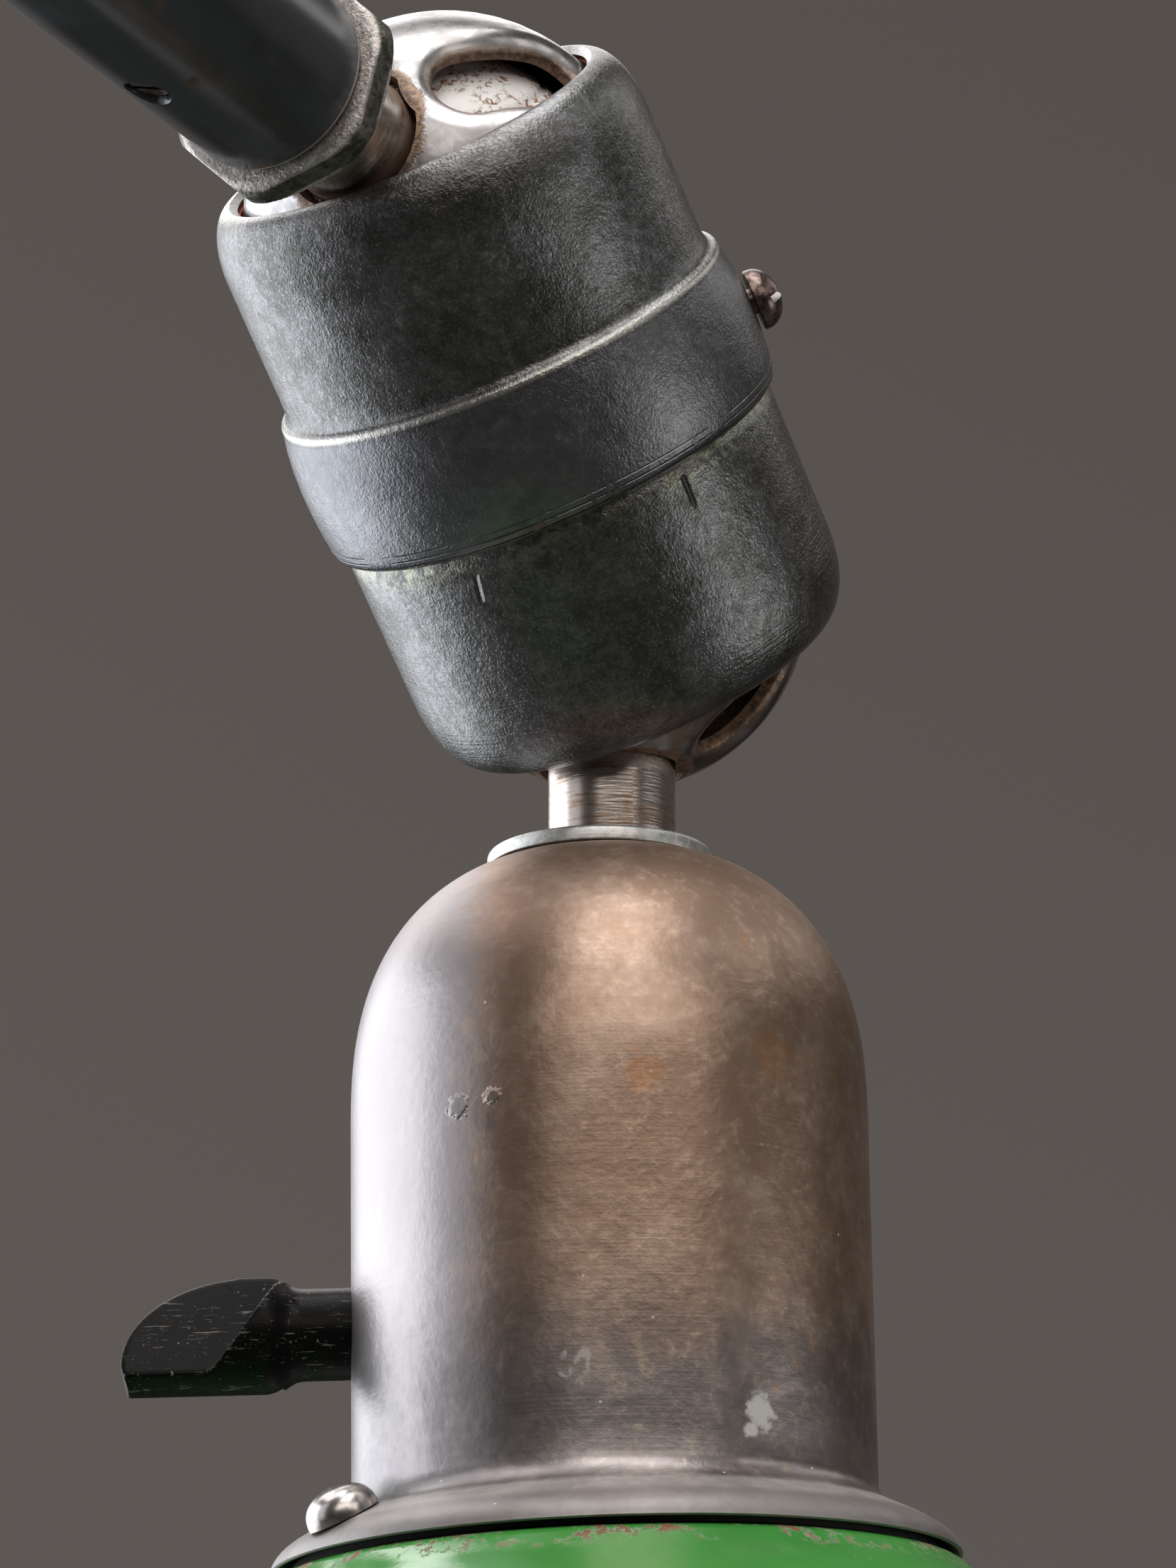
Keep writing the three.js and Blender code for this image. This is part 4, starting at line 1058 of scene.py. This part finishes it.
def softened(mesh, voxel, rounds):
    """Remeshes a body evenly and rounds its edges; each point's wear says how sharply it stands out."""
    thing = linked("soft", mesh)
    modifier = thing.modifiers.new("remesh", "REMESH")
    modifier.mode, modifier.voxel_size = "VOXEL", voxel * MM
    smooth = thing.modifiers.new("smooth", "SMOOTH")
    smooth.factor, smooth.iterations = 0.5, rounds
    result = evaluated(thing)
    result.polygons.foreach_set("use_smooth", [True] * len(result.polygons))
    edges = np.array([edge.vertices[:] for edge in result.edges])
    points = np.array([vertex.co[:] for vertex in result.vertices])
    normals = np.array([vertex.normal[:] for vertex in result.vertices])

    def of_neighbours(values):
        """The sum of a value over each point's neighbours."""
        total = np.zeros_like(values)
        for a, b in (edges.T, edges.T[::-1]):
            np.add.at(total, a, values[b])
        return total

    count = of_neighbours(np.ones(len(points)))
    bulge = ((points - of_neighbours(points) / count[:, None]) * normals).sum(1) / (voxel * MM)
    for _ in range(3):
        bulge = 0.5 * bulge + 0.5 * of_neighbours(bulge) / count
    full_wear = 0.16
    wear = result.attributes.new("wear", "FLOAT", "POINT")
    wear.data.foreach_set("value", np.clip(bulge / full_wear, 0, 1).astype(np.float32))
    return result


def key_mesh():
    """The bakelite key: a round shank that widens, then a flat wing between two slanting cuts."""
    blank, profile, near = key_blank()
    half_thick, beyond = 2.3, 14
    far = placed(slab(near, half_thick, beyond), turned(180))
    body = boolean(blank, "INTERSECT", slab(profile, -beyond, beyond))
    body = boolean(body, "DIFFERENCE", slab(near, half_thick, beyond), far)
    return placed(softened(body, 0.24, 5), turned(KEY["turn"]))


def flange_screw_mesh():
    radius, height, thin, start = 4.1, 3.4, 1.5, -3.6
    dome = bezier([(radius, 0), (radius, height - 1.2), (radius - 1.5, height), (0, height)], 16)
    shank = rounded([(0, start), (thin, start, 0.2), (thin, 0), (radius - 0.1, 0)])[:-1]
    return lathe("flange_screw", shank + dome, 64)


def gasket_mesh():
    inside, outside, bottom = GASKET["inside"], GASKET["outside"], SHADE["top"] + 0.3
    top = bottom + GASKET["thickness"]
    corners = [(inside, bottom), (outside, bottom, 0.3), (outside, top, 0.3), (inside, top)]
    return lathe("gasket", rounded(corners), 128)


def bell(offset, steps):
    """The shade's wall, a bell that steepens towards the mouth."""
    top, shoulder = SHADE["top"] - offset, SHADE["shoulder"] + 0.6 - offset * 0.5
    flare = (SHADE["shoulder"] + 42 - offset, top - 26)
    return bezier([(shoulder, top - 0.9), flare, (SHADE["mouth"] - offset, SHADE["bottom"] + 6)], steps)


def shade_mesh():
    """The enamelled shade: green outside, white inside, with a rolled rim."""
    top, mouth, bottom, wall = SHADE["top"], SHADE["mouth"], SHADE["bottom"], SHADE["wall"]
    hole, outside = SHADE["hole"], bell(0, 48)
    crest = rounded([(hole, top), (SHADE["shoulder"] + 0.3, top, 1.3), outside[1], (30, -120)], 6)[:-1]
    rim = [(mouth - 0.1 + x, z) for x, z in arc(1.75, 20, 200, 14, bottom + 2.4)]
    outline = crest + outside[2:] + rim + bell(wall, 48)[::-1] + [(hole, top - wall)]
    mesh = lathe("shade", outline, 192, 60)
    white = []  # the faces that look inwards or down
    for face in mesh.polygons:
        outward = face.normal[0] * face.center[0] + face.normal[1] * face.center[1]
        white.append(outward < 0 or face.normal[2] < -0.9)
    mesh.polygons.foreach_set("material_index", np.array(white, int))
    return mesh


def lampholder_mesh():
    """The lampholder: a turned shell over the socket and the switch chamber."""
    top = SHADE["top"]
    radius, bore, flange = 15.2, 3.6, 19
    corners = [(bore, -11.2), (9, -11.2, 0.5), (radius, -17.2, 1.5), (radius, top + 2.6)]
    corners += [(flange, top + 2.6, 0.3), (flange, top + 0.1, 0.3), (radius, top + 0.1)]
    corners += [(radius, -92, 0.4), (13.8, -92, 0.4), (13.8, -60), (bore, -60)]
    corners += [(bore, -49), (12.6, -49), (12.6, -18), (bore, -18)]
    return lathe("lampholder", rounded(corners), 96)


def shade_ring_mesh():
    """The ring that clamps the shade to the lampholder, knurled round its edge."""
    bore, radius, top = 15.5, 20, SHADE["top"] - SHADE["wall"] - 0.3
    corners = [(bore, top), (radius, top, 0.4), (radius - 1, top - 4, 0.5), (bore, top - 4)]

    def knurl(points):
        angle, distance = angle_and_distance(points)
        groove = 0.25 * (np.cos(angle * 30) > 0.4) * (distance > 18.5)
        points[:, :2] *= (1 - groove / distance)[:, None]
        return points

    return deformed(lathe("shade_ring", rounded(corners), 120), knurl)


def bulb_meshes():
    """The opal glass and its cap with a screw thread rolled into it."""
    neck, start, radius, middle = BULB["neck"], BULB["start"], BULB["radius"], BULB["middle"]

    def glass(offset, steps):
        slim, wide = neck - offset, radius - offset
        flank = [(slim, start), (slim, start - 22), (wide, middle + 22), (wide, middle)]
        return bezier(flank, steps) + arc(wide, 90, 180, steps, middle)[1:]

    bulb = lathe("bulb_glass", glass(0, 24) + glass(BULB["wall"], 20)[::-1], 96)
    contact = [(0, -60.5), (5.6, -60.5), (6, -60.8), (10, -63.5), (12.8, -65.5)]
    crest, low = 13.1, -88.1
    turns = np.linspace(0, 14 * math.pi, 120)
    thread = [(crest - 0.35 * (1 - math.cos(turn)), -66.5 - turn * 0.45) for turn in turns]
    return bulb, lathe("bulb_cap", contact + thread + [(crest, low), (0, low)], 96)


def head_places():
    """The head's own frame, which leans a little, and the bent flange's frame under it."""
    top = centre("head_lower") + Vector((HEAD["shift"], 0, -STEM["seat"])) * MM
    place = Matrix.Translation(top) @ turned(HEAD["lean"], "Y")
    tilt = HEAD["flange_tilt"]
    shift = moved(-SHADE["top"] * math.sin(math.radians(tilt)), 0, -HEAD["flange_drop"])
    return place, place @ shift @ turned(tilt, "Y")


def build_head():
    """The cover with the lampholder in it, the shade and bulb that hang from it, and the key."""
    place, hung = head_places()
    on_key = place @ radial(KEY["azimuth"], KEY["height"])
    screw = FLANGE_SCREW
    on_flange = turned(screw["azimuth"]) @ moved(screw["distance"], 0, screw["height"])
    at_screw = place @ on_flange @ turned(screw["lean"], "Y")
    glass, cap = bulb_meshes()
    spindle_start, spindle_end = 11.7, 32.9
    corners = [(0, spindle_start), (1.6, spindle_start, 0.2), (1.6, spindle_end, 0.2), (0, spindle_end)]
    aside = place @ moved(HEAD["washer_shift"], 0, 0)
    show("stem_washer", washer_mesh(), aside, WASHER, "head")
    show("lampholder_cover", cover_mesh(), place, BRONZE, "head")
    show("flange_screw", flange_screw_mesh(), at_screw, BRIGHT, "head")
    show("lampholder", lampholder_mesh(), place, BRASS, "head")
    show("bulb_glass", glass, place, OPAL, "head")
    show("bulb_cap", cap, place, CAP, "head")
    show("shade_gasket", gasket_mesh(), hung, RUBBER, "head")
    show("shade", shade_mesh(), hung, [GREEN, WHITE], "head")
    show("shade_ring", shade_ring_mesh(), hung, BRASS, "head")
    show("switch_key", key_mesh(), on_key, BAKELITE, "key")
    show("key_spindle", lathe("key_spindle", rounded(corners), 32), on_key, BRASS, "key")


# ---------- foot ----------
def foot_mesh():
    """A heavy round casting with a raised boss, hollowed a little underneath."""
    edge, hollow, bore, top = FOOT_RADIUS, 24, 7.6, 34.6
    corners = [(hollow, 3), (edge - 2, 3, 0.6), (edge, 6, 1.5), (edge, 13, 2.5), (edge - 4, 16, 3)]
    corners += [(44, 20, 14), (22, 26, 8), (19, top - 2, 3), (17, top, 1.2)]
    corners += [(bore, top, 0.4), (bore, 18), (hollow, 15)]
    channel = placed(rod(5.5, 18, edge + 4), radial(gland_azimuth(), GLAND_HEIGHT))
    return cut(lathe("foot", rounded(corners, 8), 192), channel, sharp=40)


def gland_azimuth():
    """The cable gland looks away from the arms."""
    ahead = centre("elbow_lower") - centre("base_lower")
    return math.degrees(math.atan2(ahead.y, ahead.x)) + 180


def gland_mesh():
    out = FOOT_RADIUS + 0.3
    nose = [(7.6, out, 0.3), (7.6, out + 3, 0.8), (5.2, out + 3.4, 0.3)]
    for i in range(3):
        start = out + 4.2 + 1.5 * i
        rib = [(5.2 - 0.1 * i, 0), (4.7, 0.4), (4.7, 0.9), (5.1 - 0.1 * i, 1.2)]
        nose += [(radius, start + height, 0.2) for radius, height in rib]
    corners = [(3, out - 22), (5.2, out - 22, 0.3), (5.2, out)] + nose
    return lathe("gland", rounded(corners + [(5, out + 9, 0.6), (3, out + 9, 0.4)]), 64)


def build_foot():
    """The foot stands on its pad, with its underside at the frame's origin."""
    ground = Matrix.Identity(4)
    edge, thick = FOOT_RADIUS - 7, 2.7
    pad = lathe("pad", rounded([(0, 0), (edge, 0, 0.5), (edge, thick, 0.5), (0, thick)]), 192)
    show("foot", foot_mesh(), ground, IRON, "foot_body")
    show("foot_pad", pad, ground, RUBBER, "foot_body")
    in_foot = radial(gland_azimuth(), GLAND_HEIGHT)
    show("cable_gland", gland_mesh(), in_foot, RUBBER, "foot_body")


# ---------- room: camera, floor and soft light ----------
def build_camera():
    """The view is from below, close to the lamp head, through a long lens."""
    data = bpy.data.cameras.new("camera")
    data.sensor_fit = "VERTICAL"
    data.sensor_height = 36
    data.lens = VIEW["lens"]
    data.clip_start = 0.01
    camera = linked("camera", data)
    washer = centre("head_lower") - Vector((0, 0, STEM["seat"] * MM))
    spot = washer + Vector(VIEW["from_washer"]) * MM
    pitch = Matrix.Rotation(math.pi / 2 + VIEW["pitch"], 4, "X")
    camera.matrix_world = Matrix.Translation(spot) @ pitch @ Matrix.Rotation(VIEW["roll"], 4, "Z")
    bpy.context.scene.camera = camera


def soft_light(name, azimuth, elevation, distance, size, power, colour):
    """A large soft lamp aimed at the lamp head; azimuth 0 is in front and 90 at the right."""
    data = bpy.data.lights.new(name, "AREA")
    data.shape = "RECTANGLE"
    data.size, data.size_y = size
    data.energy = power
    data.color = colour
    lamp = linked(name, data)
    lamp.visible_camera = False
    turn, tilt = math.radians(azimuth), math.radians(elevation)
    away = Vector((math.sin(turn) * math.cos(tilt), -math.cos(turn) * math.cos(tilt), math.sin(tilt)))
    below_ball = 20
    head = centre("head_lower") - Vector((0, 0, below_ball * MM))
    lamp.location = head + away * distance
    lamp.rotation_euler = (head - lamp.location).to_track_quat("-Z", "Y").to_euler()


def floor_paint():
    """A plain dull floor. The camera sees it evened out towards the tone of the wall."""
    f = Finish("floor_paint")
    camera = f.ray("Camera")
    dull = f.mix(f.noise(900, 2), (0.085, 0.082, 0.078), (0.095, 0.092, 0.088))
    f.colour = f.mix(camera, dull, (0.19, 0.18, 0.17))
    material = f.done(0.9, 0.0)
    even = f.add("ShaderNodeEmission", {"Color": (0.2, 0.186, 0.176)}, "Emission")
    shown = f.add("ShaderNodeMixShader", {0: camera * 0.68, 1: Value(f, f.shader.outputs["BSDF"]), 2: even})
    f.feed(f.tree.nodes["Material Output"].inputs["Surface"], shown)
    return material


def build_world():
    """A plain wall tone behind the lamp. In front, metal mirrors a dimmer side of the room."""
    world = bpy.data.worlds.new("room")
    bpy.context.scene.world = world
    world.use_nodes = True
    room = Nodes(world.node_tree, "Generated", 1)
    camera = room.ray("Camera")
    seen = room.math("ADD", camera + room.ray("Glossy"), room.ray("Transmission"), clamp=True)
    behind = room.mix(room.step(room.z + room.x * 0.5, 0, 0.8), (0.112, 0.1, 0.092), (0.078, 0.068, 0.061))
    dim_side, ambient = (0.042, 0.038, 0.035), (0.04, 0.04, 0.041)
    around = room.mix(camera | room.step(room.y, -0.3, 0.75), dim_side, behind)
    colour = room.mix(seen, ambient, around)
    room.feed(world.node_tree.nodes["Background"].inputs["Color"], colour)


def build_floor():
    half = 6  # metres
    corners = [(-half, -half, 0), (half, -half, 0), (half, half, 0), (-half, half, 0)]
    data = bpy.data.meshes.new("floor")
    data.from_pydata(corners, [], [(0, 1, 2, 3)])
    data.materials.append(floor_paint())
    linked("floor", data)


def build_lights():
    """Soft lamps, given one by one: distances and sizes are in metres, powers in watts."""
    soft_light("left_window", -118, 1, 0.85, (1.06, 0.96), 9.7, (0.92, 0.945, 1.0))
    soft_light("left_edge", -70, 12, 0.95, (0.4, 0.9), 0.8, (0.97, 0.96, 1.0))
    soft_light("left_high", -95, 60, 1.15, (0.6, 0.6), 2.4, (1.0, 0.96, 0.97))
    soft_light("left_behind", -146, 40, 1.3, (0.8, 0.5), 2.6, (1.0, 0.98, 0.97))
    soft_light("overhead", 4, 72, 1.15, (0.75, 1.3), 12, (1.0, 0.97, 0.95))
    soft_light("behind_high", -162, 46, 1.2, (0.95, 0.6), 3.7, (1.0, 0.97, 0.96))
    soft_light("front_panel", 9, 25, 1.6, (2.2, 0.66), 8.0, (1.0, 0.92, 0.86))
    soft_light("right_high", 78, 42, 1.3, (0.6, 0.5), 1.2, (1.0, 0.98, 0.96))
    soft_light("right_low", 76, -9, 1.3, (0.75, 0.5), 2.4, (1.0, 0.98, 0.96))
    soft_light("right_behind", 125, 40, 1.3, (0.5, 0.5), 0.8, (1.0, 0.98, 0.96))


build_camera()
build_joints()
build_arms()
build_head()
build_foot()
build_floor()
build_world()
build_lights()
bpy.context.scene.view_settings.view_transform = "Standard"
